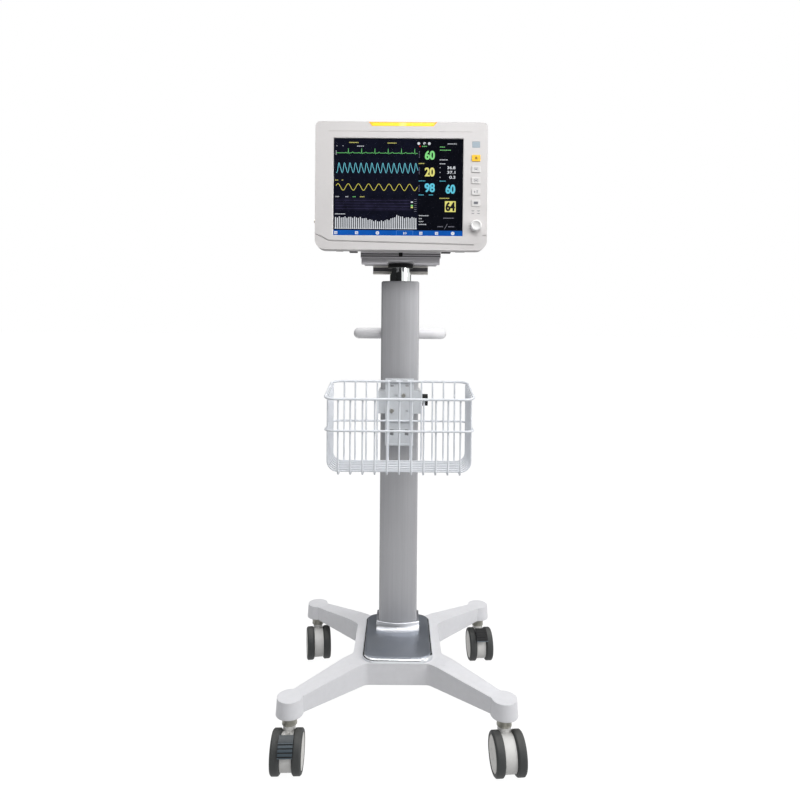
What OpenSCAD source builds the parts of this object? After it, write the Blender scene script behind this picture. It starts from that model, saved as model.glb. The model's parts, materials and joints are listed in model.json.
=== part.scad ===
// Bedside patient monitor on a rolling stand.
// Millimetres. X points right, Y to the rear, Z up, and the floor is at z = 0.

/* [Base] */
// Distance from the origin back to the centre of the base
base_y = 27; // [0:1:60]
// Distance of each caster boss from the base centre, along X and along Y
boss_offset = 227.5; // [205:0.5:250]
// Radius of a caster boss at its lower edge
boss_r_low = 29.5; // [28:0.5:34]
// Radius of a caster boss at its top
boss_r_top = 27; // [25:0.5:32]
// Height of a caster boss
boss_h = 35; // [32:1:44]
// Width of a leg where it leaves the hub's waist
leg_w_hub = 43; // [34:1:50]
// Width of a leg at its boss
leg_w_end = 34; // [26:1:40]
// Half-width of the hub at its waist
hub_half_w = 104; // [96:1:120]
// Half-width of the hub's front and rear faces
hub_face_w = 72; // [60:1:90]
// Half-depth of the hub
hub_half_d = 121; // [112:1:134]
// Height of the hub
hub_h = 49; // [44:1:60]
// Radius of the fillet between the hub and a leg
hub_fillet = 18; // [10:1:60]
// Thickness of the hub's floor, which the column stands on
hub_floor = 12; // [8:1:18]

/* [Base cover] */
// Width of the cover's dark top plate
cover_w = 156; // [140:1:180]
// Depth of the cover's dark top plate
cover_d = 224; // [200:1:230]
// How far the bright rim stands out around the plate
rim_out = 5; // [3:0.5:8]
// Height of the bright rim above the hub
rim_h = 9; // [6:0.5:14]
// Height of the dark plate above the rim
plate_h = 2; // [1:0.5:4]
// Corner radius of the dark plate
cover_corner = 28; // [20:1:40]
// Width of the collar around the column's foot
collar_w = 108; // [104:1:124]
// Height of the collar above the plate
collar_h = 17; // [12:1:24]
// How far the collar's ramp runs out in front of the column
collar_run = 24; // [16:1:34]

/* [Casters] */
// Radius of a wheel
wheel_r = 42.5; // [38:0.5:50]
// Radius of a wheel's hub, under its tyre
hub_r = 34.5; // [28:0.5:36]
// Width of one of a caster's two wheels
wheel_w = 19.4; // [16:0.2:22]
// Distance of the wheel axle behind the swivel axis
trail = 29; // [24:0.5:32]
// Width of the housing between the wheels
housing_w = 24; // [20:0.5:28]
// Radius of the housing around the axle
housing_r = 36.5; // [32:0.5:40]
// Height of the housing's flat lower edge above the floor
housing_low = 8.5; // [6:0.5:14]
// Radius of the neck under the base
neck_r = 16; // [13:0.5:18]
// Height of the top of the neck above the floor
neck_top = 105.2; // [102:0.1:125]
// Radius of the axle
axle_r = 4; // [3:0.25:5]
// Radius of the swivel stem
stem_r = 6; // [5:0.25:7]
// Length of stem inside the base
stem_in_base = 26; // [20:1:28]
// Gap between a wheel and its housing
wheel_gap = 0.6; // [0.4:0.1:1.5]
// Chamfer of the tread's edges
tread_chamfer = 3; // [1:0.5:4]
// Angles that the casters stand at: front left, front right, rear left, rear right
caster_yaw = [2, 5, 11, 4]; // [0:1:20]

/* [Brake pedals] */
// Width of a pedal
pedal_w = 30; // [26:1:40]
// Thickness of a pedal
pedal_t = 4; // [3:0.5:6]
// Gap between a lowered pedal and the wheels
pedal_gap = 1.6; // [1:0.1:3]
// Angle that a pedal lifts by
pedal_lift = 18; // [10:1:20]
// Width of the pedal's lug in its slot
lug_w = 10; // [8:0.5:12]
// Radius of the pedal's pin
pin_r = 2.5; // [2:0.25:3]

/* [Column] */
// Distance of the column's axis behind the base centre
column_back = 54.5; // [50:0.5:60]
// Width of the column
column_w = 96; // [90:1:104]
// Depth of the column
column_d = 66; // [64:1:74]
// Radius of the column's bulged front
column_front_r = 117; // [100:1:160]
// Radius of the column's corners
column_corner = 8; // [5:0.5:10]
// Wall of the column
column_wall = 3; // [2:0.25:4]
// Height of the column's top above the floor
column_top = 1040.5; // [1000:0.5:1100]
// Height of the domed part of the cap
cap_h = 3.6; // [2:0.2:6]
// Depth of the cap's plug inside the column
cap_plug = 50; // [30:1:70]
// Radius of the chrome post
post_r = 27; // [25:0.5:27.5]
// Wall of the post
post_wall = 2.5; // [2:0.25:4]
// Radius of the post's turned end, which the head swivels on
spigot_r = 24.25; // [23:0.25:24.5]
// Length of the post's turned end
spigot_h = 26; // [20:1:30]

/* [Handle] */
// Height of the push handle above the floor
handle_z = 912; // [880:0.5:960]
// Overall width of the push handle
handle_w = 250; // [220:1:290]
// Overall depth of the push handle
handle_d = 108; // [90:1:130]
// Radius of the handle's bar
handle_r = 14.5; // [11:0.5:16]
// Radius of the handle's corners, at the middle of the bar
handle_corner = 30; // [20:1:38]
// Width of the clamp that holds the handle
clamp_w = 72; // [64:1:90]
// Height of the clamp that holds the handle
clamp_h = 52; // [46:1:64]

/* [Basket] */
// Overall width of the basket
basket_w = 337; // [280:1:360]
// Overall depth of the basket
basket_d = 170; // [140:1:200]
// Height of the rim at the front
rim_front_z = 766.5; // [750:0.5:790]
// Height of the rim at the back
rim_back_z = 793.5; // [780:0.5:815]
// Height of the middle ring
ring_z = 696.5; // [670:0.5:720]
// Height of the basket's underside
basket_low = 596.5; // [585:0.5:640]
// Radius of the rim wire
rim_wire = 3; // [2.5:0.1:4]
// Radius of the ring wire
ring_wire = 2.5; // [2:0.1:3]
// Radius of the long wires
long_wire = 2.1; // [1.6:0.1:2.5]
// Radius of the cross wires
cross_wire = 2; // [1.6:0.1:2.5]
// Number of long wires, which run from front to back
long_count = 11; // [7:2:13]
// Spacing of the long wires
long_pitch = 27; // [22:0.5:27]
// Number of cross wires, which run from left to right
cross_count = 7; // [3:2:7]
// Spacing of the cross wires
cross_pitch = 18.5; // [16:0.5:18.5]
// Corner radius of the rim and the ring
basket_corner = 24; // [16:1:26]
// Bend radius of the cross wires
cross_bend = 23; // [14:1:28]
// Bend radius of the long wires
long_bend = 12; // [8:1:18]

/* [Basket bracket] */
// Width of the bracket plate
bracket_w = 70; // [60:1:80]
// Thickness of the bracket plate
bracket_t = 4; // [3:0.5:6]
// Height of the plate's lower edge above the floor
bracket_low = 635.5; // [620:0.5:660]
// Height of the plate's upper edge above the floor
bracket_top = 800.5; // [798:0.5:830]
// Gap between the basket's back and the column's front
basket_standoff = 33.5; // [28:0.5:44]
// Height of the middle of the column clamp
cclamp_z = 741.5; // [730:0.5:760]
// Height of the column clamp
cclamp_h = 56; // [50:1:64]
// Wall of the column clamp
cclamp_t = 4; // [3:0.25:6]
// Radius of the clamp knob
star_r = 15; // [12:0.5:18]
// Thickness of the clamp knob
star_t = 14; // [10:0.5:18]
// Radius of the knob's threaded stud
stud_r = 4; // [3:0.25:5]

/* [Head] */
// Width of the head block
head_w = 188; // [170:1:191]
// Height of the head block's underside above the floor
head_z = 1077.5; // [1074:0.5:1110]
// Thickness of the head block
head_h = 16; // [14:0.5:22]
// Distance from the post's axis to the head's front edge
head_front = 104; // [90:1:116]
// Distance from the post's axis to the head's rear edge
head_rear = 42; // [38:1:50]
// Depth of the lip along the head block's front
lip_d = 10; // [8:0.5:14]
// Thickness of the head block behind its lip
web_h = 4.5; // [4:0.5:8]
// Height of the notch in the lip's middle, which shows the bush
notch_h = 9; // [6:0.5:9]
// Radius of the black bush's flange
bush_flange_r = 32; // [31:0.5:36]
// Height of the bush's flange
bush_flange_h = 10; // [7:0.5:12]
// Wall of the bush
bush_wall = 3; // [2:0.25:5]
// Width of the slide plate
slide_w = 192; // [180:1:210]
// Thickness of the slide plate
slide_h = 14; // [12:0.5:18]
// Width of the rail behind the post
rail_w = 145; // [120:1:170]
// Height of the rail
rail_h = 26; // [20:0.5:30]
// Thickness of the rail
rail_t = 10; // [8:0.5:14]
// Width of the release button
latch_w = 9; // [7:0.5:12]
// Height of the release button
latch_h = 9.4; // [7:0.2:10]
// Length of the release button
latch_len = 22; // [16:1:30]
// Travel of the release button
latch_travel = 3; // [2:0.5:4]

/* [Monitor] */
// Width of the monitor's face
face_w = 404; // [390:1:420]
// Height of the monitor's face
face_h = 300; // [290:1:315]
// Distance of the monitor's face in front of the post's axis
face_front = 140.5; // [130:0.5:150]
// Depth of the front bezel
bezel_d = 34; // [28:1:40]
// Depth of the rear cover
cover_depth = 126; // [120:1:150]
// Wall of the bezel
bezel_wall = 3; // [2.5:0.25:4]
// Wall of the rear cover
shell_wall = 2.8; // [2.2:0.2:4]
// Corner radius at the top of the face
corner_top = 12; // [8:1:20]
// Corner radius at the bottom of the face
corner_low = 24; // [16:1:30]
// Width of the screen opening
screen_w = 304; // [290:1:306]
// Height of the screen opening
screen_h = 228; // [210:1:230]
// Distance of the screen's middle from the face's middle, to the left
screen_left = 7; // [4:0.5:9]
// Distance of the screen's middle below the face's middle
screen_down = 2.5; // [0:0.5:6]
// Thickness of the screen window
glass_t = 2; // [1:0.25:3]
// Thickness of the display panel
panel_t = 12; // [8:1:16]
// How far the window and the panel reach behind the opening's edge
panel_lap = 4; // [3:0.5:5]
// Width of the alarm lens at its top
lens_w = 161; // [120:1:170]
// Height of the alarm lens
lens_h = 10; // [7:0.5:12]
// Depth of the alarm lens
lens_d = 26; // [20:1:28]

/* [Keys] */
// How far the key column stands right of the middle of the margin beside the panel
key_off = 1; // [-1:0.5:2]
// Heights of the keys above the face's middle: the alarm key first
key_rise = [66, 40, 13.5, -13, -39]; // [-60:0.5:80]
// Width of a key
key_w = 20; // [17:0.5:22]
// Height of a key
key_h = 15; // [12:0.5:16]
// How far a key stands out from the face
key_proud = 2; // [1.5:0.25:3]
// Travel of a key
key_travel = 1.2; // [0.8:0.1:1.5]
// Corner radius of a key
key_corner = 2; // [1:0.5:3]
// How far a key's flange reaches past its hole
key_flange = 2; // [1.5:0.25:3]
// Distance of the knob below the face's middle
knob_down = 93; // [88:0.5:98]
// Radius of the knob
knob_r = 13.5; // [11:0.5:15]
// How far the knob stands out from the face
knob_proud = 14; // [10:0.5:18]
// Radius of the knob's shaft
shaft_r = 3; // [2.5:0.25:3.5]

/* [Connections] */
// Heights of the sockets above the face's middle: ECG, pulse, two temperatures
socket_rise = [52, 16, -14, -38]; // [-60:1:70]
// Radius of each socket's body
socket_r = [12, 11, 8, 8]; // [7:0.5:14]
// Radius of each socket's bore
socket_bore = [8, 7, 4.5, 4.5]; // [3:0.25:9]
// Depth of the sockets' bores
socket_deep = 14; // [10:1:18]
// Height of the pressure port above the face's middle
port_rise = -74; // [-84:1:-66]
// Radius of the pressure port's nipple
port_r = 4; // [3:0.25:5]
// How far the pressure port stands out
port_out = 10; // [6:1:14]
// Distance of the sockets behind the face
socket_back = 62; // [56:1:74]
// Distance between the bolts of the rear hole pattern
vesa = 100; // [75:25:100]
// Radius of the pattern's holes
vesa_r = 2; // [1.5:0.25:2.5]
// Radius of the earth stud
stud_pin_r = 3; // [2.5:0.25:4]
// Length of the earth stud
stud_pin_len = 14; // [10:1:18]

/* [Inside] */
// Width, thickness and height of the main board
board_size = [240, 1.6, 170]; // [1:0.1:260]
// Width, depth and height of the power supply
supply_size = [110, 52, 48]; // [30:1:120]
// Width, depth and height of the battery pack
battery_size = [100, 76, 40]; // [30:1:110]
// Radius of the pressure pump's motor
pump_r = 14; // [10:0.5:16]
// Height of the pressure pump's motor
pump_h = 40; // [30:1:46]
// Width of the pump's head
pump_head_w = 32; // [24:1:36]
// Height of the pump's head
pump_head_h = 18; // [12:1:24]

/* [Fits] */
// Radial clearance of a turning fit
turn_fit = 0.05; // [0.02:0.01:0.1]
// Gap beside a sliding piece
slide_gap = 0.3; // [0.2:0.05:0.6]
// Gap between pieces that are put together
seat_gap = 0.2; // [0.1:0.05:0.5]

/* [Hidden] */
$fn = 48;

// Which side of the base each caster is on, in the order of caster_yaw
CASTER_SIDE = [[-1, -1], [1, -1], [-1, 1], [1, 1]];
FL = 0;
FR = 1;
RL = 2;
RR = 3;

// Base heights
base_z = neck_top + slide_gap;
hub_top = base_z + hub_h;
rim_top = hub_top + rim_h;
plate_top = rim_top + plate_h;
collar_top = plate_top + collar_h;
column_z = base_z + hub_floor;

// Column and post
column_y = base_y + column_back;
column_face = column_y - column_d / 2;
column_rear = column_y + column_d / 2;
post_len = cap_plug + head_z + head_h - 2 - column_top;

// Handle
handle_y = column_rear + 7 + handle_r;
saddle_x = clamp_w / 2 - 10;

// Basket, measured to the middle of its wires
basket_back = column_face - basket_standoff;
basket_rear_mid = basket_back - rim_wire;
basket_front_mid = basket_back - basket_d + rim_wire;
basket_mid_y = (basket_rear_mid + basket_front_mid) / 2;
basket_depth = basket_rear_mid - basket_front_mid;
basket_width = basket_w - 2 * rim_wire;
basket_tilt = atan((rim_back_z - rim_front_z) / basket_depth);
long_span = basket_depth - 2 * (rim_wire + long_wire);
cross_span = basket_width - 2 * (rim_wire + cross_wire);
long_z = basket_low + long_wire;
cross_z = long_z + long_wire + cross_wire;

// Bracket and column clamp
plate_y = basket_back;
cclamp_y = plate_y + bracket_t;
cclamp_rear = column_rear + cclamp_t;
cclamp_w = column_w + 2 * (cclamp_t + seat_gap);
boss_x = cclamp_w / 2 + 6;

// Fasteners of the stand: M6 button heads
bolt_r = 3;
bolt_len = 18;
bolt_head_r = 5.25;
bolt_head_h = 3.3;

// Monitor
face_y = column_y - face_front;
slide_z = head_z + head_h;
face_z = slide_z + slide_h;
face_mid = face_z + face_h / 2;
bezel_back = face_y + bezel_d;
monitor_back = bezel_back + cover_depth;
screen_x = -screen_left;
screen_z = face_mid - screen_down;
panel_w = screen_w + 2 * panel_lap;
panel_h = screen_h + 2 * panel_lap;
key_x = (screen_x + panel_w / 2 + face_w / 2 - bezel_wall) / 2 + key_off;
glass_y = face_y + bezel_wall;
panel_y = glass_y + glass_t;
lens_x = 3;
lens_slant = 8;
board_y = face_y + bezel_wall + 10;
switch_y = face_y + bezel_wall + slide_gap + 1.5 + key_travel + slide_gap;
socket_y = face_y + socket_back;
vesa_z = face_mid - 5;

// Rear cover: its lower edge climbs to the rear, clear of the slide plate
cover_in = 2;
cover_low = face_z + 4;
cover_high = face_z + face_h - 4;
cover_climb = 0.111;
cover_mid_y = bezel_back + 72;
cover_mid_low = cover_low + cover_climb * 72;
cover_mid_in = cover_in + 8;
cover_rear_low = cover_low + 22;
cover_rear_high = cover_high - 32;
cover_rear_in = 37;

// Fasteners of the monitor: M4 pan heads
case_r = 2;
case_len = 12;
case_head_r = 3.8;
case_head_h = 2.6;
slide_bolt_x = 60;
slide_bolt_y = [face_y + 60, face_y + 110];

// ---- helpers ----

function unit(v) = v / norm(v);

// Points of the arc of radius r that rounds corner p between neighbours a and b
function corner_arc(a, p, b, r, n) =
    r == 0 ? [p] :
    let (
        u = unit(a - p), v = unit(b - p), half = acos(u * v) / 2,
        c = p + unit(u + v) * r / sin(half),
        t1 = p + u * r / tan(half) - c, t2 = p + v * r / tan(half) - c,
        from = atan2(t1.y, t1.x), raw = atan2(t2.y, t2.x) - from,
        sweep = raw > 180 ? raw - 360 : raw < -180 ? raw + 360 : raw
    )
    [for (i = [0 : n]) c + r * [cos(from + sweep * i / n), sin(from + sweep * i / n)]];

// A closed outline with its corners rounded
function rounded(points, radii, n = 6) =
    let (last = len(points) - 1)
    [for (i = [0 : last]) each corner_arc(
        points[i == 0 ? last : i - 1], points[i], points[i == last ? 0 : i + 1], radii[i], n)];

// Extrudes an outline drawn in X and Z, from y to y + depth
module upright(y, depth) {
    translate([0, y + depth, 0]) rotate([90, 0, 0]) linear_extrude(depth) children();
}

// Extrudes an outline drawn in Y and Z, from x to x + width
module sideways(x, width) {
    translate([x, 0, 0]) rotate([90, 0, 90]) linear_extrude(width) children();
}

module rod_x(at, r, length) {
    translate(at) rotate([0, 90, 0]) cylinder(r = r, h = length);
}

module rod_y(at, r, length) {
    translate(at) rotate([-90, 0, 0]) cylinder(r = r, h = length);
}

// A rectangle with true round corners, around the origin
module round_rect(w, h, r) {
    square([w - 2 * r, h], center = true);
    square([w, h - 2 * r], center = true);
    for (x = [-1, 1], y = [-1, 1])
        translate([x * (w / 2 - r), y * (h / 2 - r)]) circle(r = r);
}

// A quarter bend of wire in the XY plane, starting at the given turn
module bend(r_bend, r_wire, turn) {
    rotate([0, 0, turn]) rotate_extrude(angle = 90) translate([r_bend, 0]) circle(r = r_wire);
}

// A closed hoop of wire in the XY plane, w by d at the middle of the wire
module hoop(w, d, r_corner, r_wire) {
    x = w / 2 - r_corner;
    y = d / 2 - r_corner;
    for (s = [-1, 1]) {
        rod_x([-x, s * d / 2, 0], r_wire, 2 * x);
        rod_y([s * w / 2, -y, 0], r_wire, 2 * y);
    }
    for (c = [[x, y, 0], [-x, y, 90], [-x, -y, 180], [x, -y, 270]])
        translate([c.x, c.y, 0]) bend(r_corner, r_wire, c.z);
}

// A U of wire in the XZ plane, with its two ends at heights left_h and right_h
module wire_u(span, left_h, right_h, r_bend, r_wire) {
    x = span / 2 - r_bend;
    rod_x([-x, 0, 0], r_wire, 2 * x);
    translate([-span / 2, 0, r_bend]) cylinder(r = r_wire, h = left_h - r_bend);
    translate([span / 2, 0, r_bend]) cylinder(r = r_wire, h = right_h - r_bend);
    rotate([90, 0, 0]) {
        translate([-x, r_bend, 0]) bend(r_bend, r_wire, 180);
        translate([x, r_bend, 0]) bend(r_bend, r_wire, 270);
    }
}

// ---- base ----

// One quarter of the base in plan, from the front face round a leg to the waist
function base_quarter() =
    let (
        e = (leg_w_hub - leg_w_end) / 2 / 180,
        w = leg_w_hub * sqrt(0.5),
        end = leg_w_end * sqrt(0.5)
    )
    [
        [hub_face_w, -hub_half_d],
        [boss_offset - end / 2, -boss_offset - end / 2],
        [boss_offset + end / 2, -boss_offset + end / 2],
        [hub_half_w, -hub_half_w + w - e]
    ];

function flip(points, sx, sy) = [for (p = points) [p.x * sx, p.y * sy]];
function reversed(points) = [for (i = [len(points) - 1 : -1 : 0]) points[i]];

module base_outline() {
    q = base_quarter();
    points = concat(q, reversed(flip(q, 1, -1)), flip(q, -1, -1), reversed(flip(q, -1, 1)));
    polygon(rounded(points, [for (i = [0 : 15]) i % 4 == 0 || i % 4 == 3 ? hub_fillet : 0]));
}

// A leg pair from the side, along one diagonal: it falls from above the hub to the bosses
module leg_profile() {
    reach = boss_offset * sqrt(2) + boss_r_low;
    level = norm([hub_half_w, hub_half_d]);
    boss_edge = boss_offset * sqrt(2) - boss_r_top;
    boss_top = base_z + boss_h;
    peak = hub_top + (hub_top - boss_top) * level / (boss_edge - level);
    polygon([
        [-reach, base_z - 1], [reach, base_z - 1], [reach, boss_top], [boss_edge, boss_top],
        [0, peak], [-boss_edge, boss_top], [-reach, boss_top]
    ]);
}

module column_hole() {
    translate([0, column_y]) polygon(column_outline(seat_gap));
}

module base_frame() {
    color("gainsboro") difference() {
        union() {
            intersection() {
                translate([0, base_y, base_z]) linear_extrude(hub_h) base_outline();
                translate([0, base_y, 0]) union() {
                    for (turn = [45, -45])
                        rotate([0, 0, turn]) sideways(-60, 120) leg_profile();
                    translate([-hub_half_w - 6, -hub_half_d - 6, base_z - 1])
                        cube([2 * hub_half_w + 12, 2 * hub_half_d + 12, hub_h + 2]);
                }
            }
            for (side = CASTER_SIDE)
                translate([side.x * boss_offset, base_y + side.y * boss_offset, base_z])
                    cylinder(r1 = boss_r_low, r2 = boss_r_top, h = boss_h);
        }
        for (side = CASTER_SIDE)
            translate([side.x * boss_offset, base_y + side.y * boss_offset, base_z - 1])
                cylinder(r = stem_r, h = stem_in_base + 1);
        translate([0, 0, column_z]) linear_extrude(hub_h) column_hole();
        for (x = foot_bolt_x) translate([x, column_y, base_z - 1]) {
            cylinder(r = bolt_r, h = hub_floor + 2);
            cylinder(r = bolt_head_r + seat_gap, h = 1 + bolt_head_h + seat_gap);
        }
    }
}

module base_cover() {
    y = base_y - 3;
    color("slategray") difference() {
        union() {
            translate([0, y, hub_top]) linear_extrude(rim_h)
                round_rect(cover_w + 2 * rim_out, cover_d + 2 * rim_out, cover_corner + rim_out);
            translate([0, y, rim_top]) linear_extrude(plate_h)
                round_rect(cover_w, cover_d, cover_corner);
            collar();
        }
        translate([0, 0, hub_top - 1]) linear_extrude(rim_h + plate_h + collar_h + 2)
            column_hole();
    }
}

// The collar: a ramp that sweeps up to the column's bulged face, and level sides behind it
module collar() {
    r = column_front_r;
    foot = r + collar_run + 6;
    half = collar_w / 2;
    back = column_face + 12;
    intersection() {
        translate([0, column_face + r, 0]) rotate_extrude() polygon(rounded(
            [[foot, rim_top], [foot, plate_top], [r + 7, plate_top], [r + 4, collar_top],
                [r - 20, collar_top], [r - 20, rim_top]],
            [0, 0, collar_h * 0.8, 3, 0, 0], 8));
        translate([-half, column_face - collar_run - 20, rim_top - 1])
            cube([collar_w, collar_run + 60, plate_h + collar_h + 2]);
    }
    translate([-half, back, rim_top])
        cube([collar_w, column_rear + 5 - back, plate_h + collar_h]);
}

// ---- casters ----

module at_caster(i) {
    side = CASTER_SIDE[i];
    translate([side.x * boss_offset, base_y + side.y * boss_offset, 0])
        rotate([0, 0, caster_yaw[i]]) children();
}

// Puts children at the wheel axle, with -Y towards the trailing side
module at_axle() {
    translate([0, -trail, wheel_r]) children();
}

stem_low = wheel_r + housing_r / 2;
neck_low = wheel_r + sqrt(wheel_r * wheel_r - pow(trail - neck_r, 2)) + 1;
stem_head_r = stem_r + 2;
stem_head_h = 3;

module caster_stems() {
    color("silver") for (i = [0 : 3]) at_caster(i) {
        translate([0, 0, stem_low]) cylinder(r = stem_r, h = base_z + stem_in_base - stem_low);
        translate([0, 0, stem_low]) cylinder(r = stem_head_r, h = stem_head_h);
    }
}

hinge_turn = 84;
hinge_reach = 31;
hinge_y = -hinge_reach * cos(hinge_turn);
hinge_z = hinge_reach * sin(hinge_turn);
pedal_from = 18;
pedal_to = 70;
pedal_in = wheel_r + pedal_gap;
pedal_out = pedal_in + pedal_t;

// A slice of a ring about the axle, between two angles above the trailing direction
module ring_slice(r_in, r_out, from, to) {
    far = 2 * r_out;
    intersection() {
        difference() {
            circle(r = r_out);
            circle(r = r_in);
        }
        polygon([[0, 0], [-far * cos(from), far * sin(from)],
            [-far * cos((from + to) / 2), far * sin((from + to) / 2)],
            [-far * cos(to), far * sin(to)]]);
    }
}

module housing(i, braked) {
    half = housing_w / 2;
    color("lightgray") at_caster(i) difference() {
        union() {
            at_axle() difference() {
                rod_x([-half, 0, 0], housing_r, housing_w);
                translate([-half - 1, -housing_r, -wheel_r])
                    cube([housing_w + 2, 2 * housing_r, housing_low]);
            }
            intersection() {
                translate([0, 0, wheel_r]) cylinder(r = neck_r, h = neck_low - wheel_r);
                translate([-half, -neck_r, wheel_r]) cube([housing_w, 2 * neck_r, housing_r * 2]);
            }
            translate([0, 0, neck_low]) cylinder(r = neck_r, h = neck_top - neck_low);
        }
        at_axle() rod_x([-half - 1, 0, 0], axle_r + turn_fit, housing_w + 2);
        translate([0, 0, stem_low - slide_gap]) {
            cylinder(r = stem_r + turn_fit, h = neck_top);
            cylinder(r = stem_head_r + slide_gap, h = stem_head_h + 2 * slide_gap);
        }
        if (braked) at_axle() {
            sideways(-lug_w / 2 - slide_gap, lug_w + 2 * slide_gap)
                ring_slice(housing_r - 12, wheel_r + 10, 45, 98);
            rod_x([-half - 1, hinge_y, hinge_z], pin_r + turn_fit, housing_w + 2);
        }
    }
}

module axle(i) {
    length = housing_w + 2 * (wheel_gap + wheel_w) - 4;
    color("silver") at_caster(i) at_axle() rod_x([-length / 2, 0, 0], axle_r, length);
}

// Puts one wheel's turned profile on each side of the housing, with its inner face at z = 0
module each_wheel(i) {
    at_caster(i) at_axle() for (s = [-1, 1])
        translate([s * (housing_w / 2 + wheel_gap), 0, 0]) rotate([0, s * 90, 0]) children();
}

module wheels(i) {
    color("whitesmoke") each_wheel(i) difference() {
        union() {
            cylinder(r = hub_r, h = wheel_w - 2);
            translate([0, 0, wheel_w - 2]) cylinder(r1 = hub_r - 2, r2 = hub_r - 8, h = 2);
        }
        translate([0, 0, -1]) cylinder(r = axle_r, h = wheel_w - 1);
    }
}

module tyres(i) {
    c = tread_chamfer;
    color("dimgray") each_wheel(i) rotate_extrude() polygon([
        [hub_r, 0], [wheel_r - c, 0], [wheel_r, c], [wheel_r, wheel_w - c],
        [wheel_r - c, wheel_w], [hub_r + 1, wheel_w], [hub_r, wheel_w - 1]
    ]);
}

module pedal(i, lift) {
    color("darkslategray") at_caster(i) at_axle() translate([0, hinge_y, hinge_z])
        rotate([-lift, 0, 0]) translate([0, -hinge_y, -hinge_z]) {
            difference() {
                sideways(-pedal_w / 2, pedal_w)
                    ring_slice(pedal_in, pedal_out, pedal_from, pedal_to);
                for (a = [pedal_from + 4 : 8.5 : pedal_from + 30])
                    rod_x([-pedal_w, -pedal_out * cos(a), pedal_out * sin(a)], 1.2, 2 * pedal_w);
            }
            sideways(-lug_w / 2, lug_w) {
                translate([hinge_y, hinge_z]) circle(r = pin_r + 2.5);
                polygon([
                    [hinge_y + 2, hinge_z + pin_r + 2],
                    [-(pedal_in + 1) * cos(pedal_to), (pedal_in + 1) * sin(pedal_to)],
                    [-(pedal_in + 1) * cos(pedal_to - 12), (pedal_in + 1) * sin(pedal_to - 12)],
                    [hinge_y - 2, hinge_z - pin_r - 1]
                ]);
            }
            rod_x([-housing_w / 2, hinge_y, hinge_z], pin_r, housing_w);
        }
}

// ---- column ----

// The extrusion in plan, grown outwards by g
function column_outline(g) =
    let (
        half = column_w / 2 + g, r = column_front_r + g, steps = 8,
        front = -column_d / 2 - g, rear = column_d / 2 + g
    )
    rounded(
        concat(
            [for (i = [0 : steps]) let (x = half * (2 * i / steps - 1))
                [x, front + r - sqrt(r * r - x * x)]],
            [[half, rear], [-half, rear]]),
        [for (i = [0 : steps + 2]) i == 0 || i >= steps ? column_corner + g : 0]);

boss_tube_r = bolt_r + 3;
foot_bolt = column_w / 2 - column_wall - boss_tube_r + 1;
foot_bolt_x = [-foot_bolt, foot_bolt];

module column() {
    length = column_top - column_z;
    color("darkgray") difference() {
        translate([0, column_y, column_z]) linear_extrude(length) difference() {
            polygon(column_outline(0));
            difference() {
                polygon(column_outline(-column_wall));
                for (x = foot_bolt_x) translate([x, 0]) circle(r = boss_tube_r);
            }
            for (x = foot_bolt_x) translate([x, 0]) circle(r = bolt_r);
        }
        for (z = handle_bolt_z)
            rod_y([0, column_rear - column_wall - 1, z], bolt_r, column_wall + 2);
    }
}

module column_cap() {
    color("dimgray") difference() {
        union() {
            translate([0, column_y, column_top]) {
                linear_extrude(cap_h / 2) polygon(column_outline(-0.5));
                translate([0, 0, cap_h / 2]) linear_extrude(cap_h / 2)
                    polygon(column_outline(-2.5));
            }
            translate([0, column_y, column_top - cap_plug]) linear_extrude(cap_plug)
                difference() {
                    polygon(column_outline(-column_wall - seat_gap));
                    for (x = foot_bolt_x) translate([x, 0]) circle(r = boss_tube_r + seat_gap);
                }
        }
        translate([0, column_y, column_top - cap_plug - 1])
            cylinder(r = post_r, h = cap_plug + cap_h + 2);
    }
}

module post() {
    color("silver") translate([0, column_y, column_top - cap_plug]) difference() {
        union() {
            cylinder(r = post_r, h = post_len - spigot_h);
            cylinder(r = spigot_r, h = post_len);
        }
        translate([0, 0, -1]) cylinder(r = post_r - post_wall, h = post_len - spigot_h - 3);
    }
}

handle_bolt_z = [handle_z - handle_r - 6, handle_z + handle_r + 6];
bracket_bolt = [[10, cclamp_z + 17], [-19, cclamp_z - 21]];
bracket_hole = [[-9, cclamp_z + 17], [19, cclamp_z - 21]];

module button_bolt() {
    cylinder(r = bolt_r, h = bolt_len);
    difference() {
        translate([0, 0, -bolt_head_h]) cylinder(r1 = bolt_head_r - 1, r2 = bolt_head_r, h = bolt_head_h);
        translate([0, 0, -bolt_head_h - 1]) cylinder(r = 2.2, h = 2.6, $fn = 6);
    }
}

module column_screws() {
    color("dimgray") {
        for (x = foot_bolt_x)
            translate([x, column_y, base_z + bolt_head_h + seat_gap]) button_bolt();
        for (z = handle_bolt_z)
            translate([0, column_rear + 6, z]) rotate([90, 0, 0]) button_bolt();
        for (p = bracket_bolt)
            translate([p.x, plate_y, p.y]) rotate([-90, 0, 0]) button_bolt();
    }
}

// ---- handle ----

module push_handle() {
    mid_d = handle_d - 2 * handle_r;
    color("whitesmoke") translate([0, handle_y + mid_d / 2, handle_z])
        hoop(handle_w - 2 * handle_r, mid_d, handle_corner, handle_r);
}

module handle_clamp() {
    color("silver") difference() {
        union() {
            translate([-clamp_w / 2, column_rear, handle_z - clamp_h / 2])
                cube([clamp_w, 6, clamp_h]);
            for (s = [-1, 1]) {
                rod_x([s * saddle_x - 8, handle_y, handle_z], handle_r + 4, 16);
                translate([s * saddle_x - 8, column_rear, handle_z - handle_r - 4])
                    cube([16, handle_y - column_rear, 2 * handle_r + 8]);
            }
        }
        rod_x([-clamp_w, handle_y, handle_z], handle_r, 2 * clamp_w);
        for (z = handle_bolt_z) rod_y([0, column_rear - 1, z], bolt_r, 8);
    }
}

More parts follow.
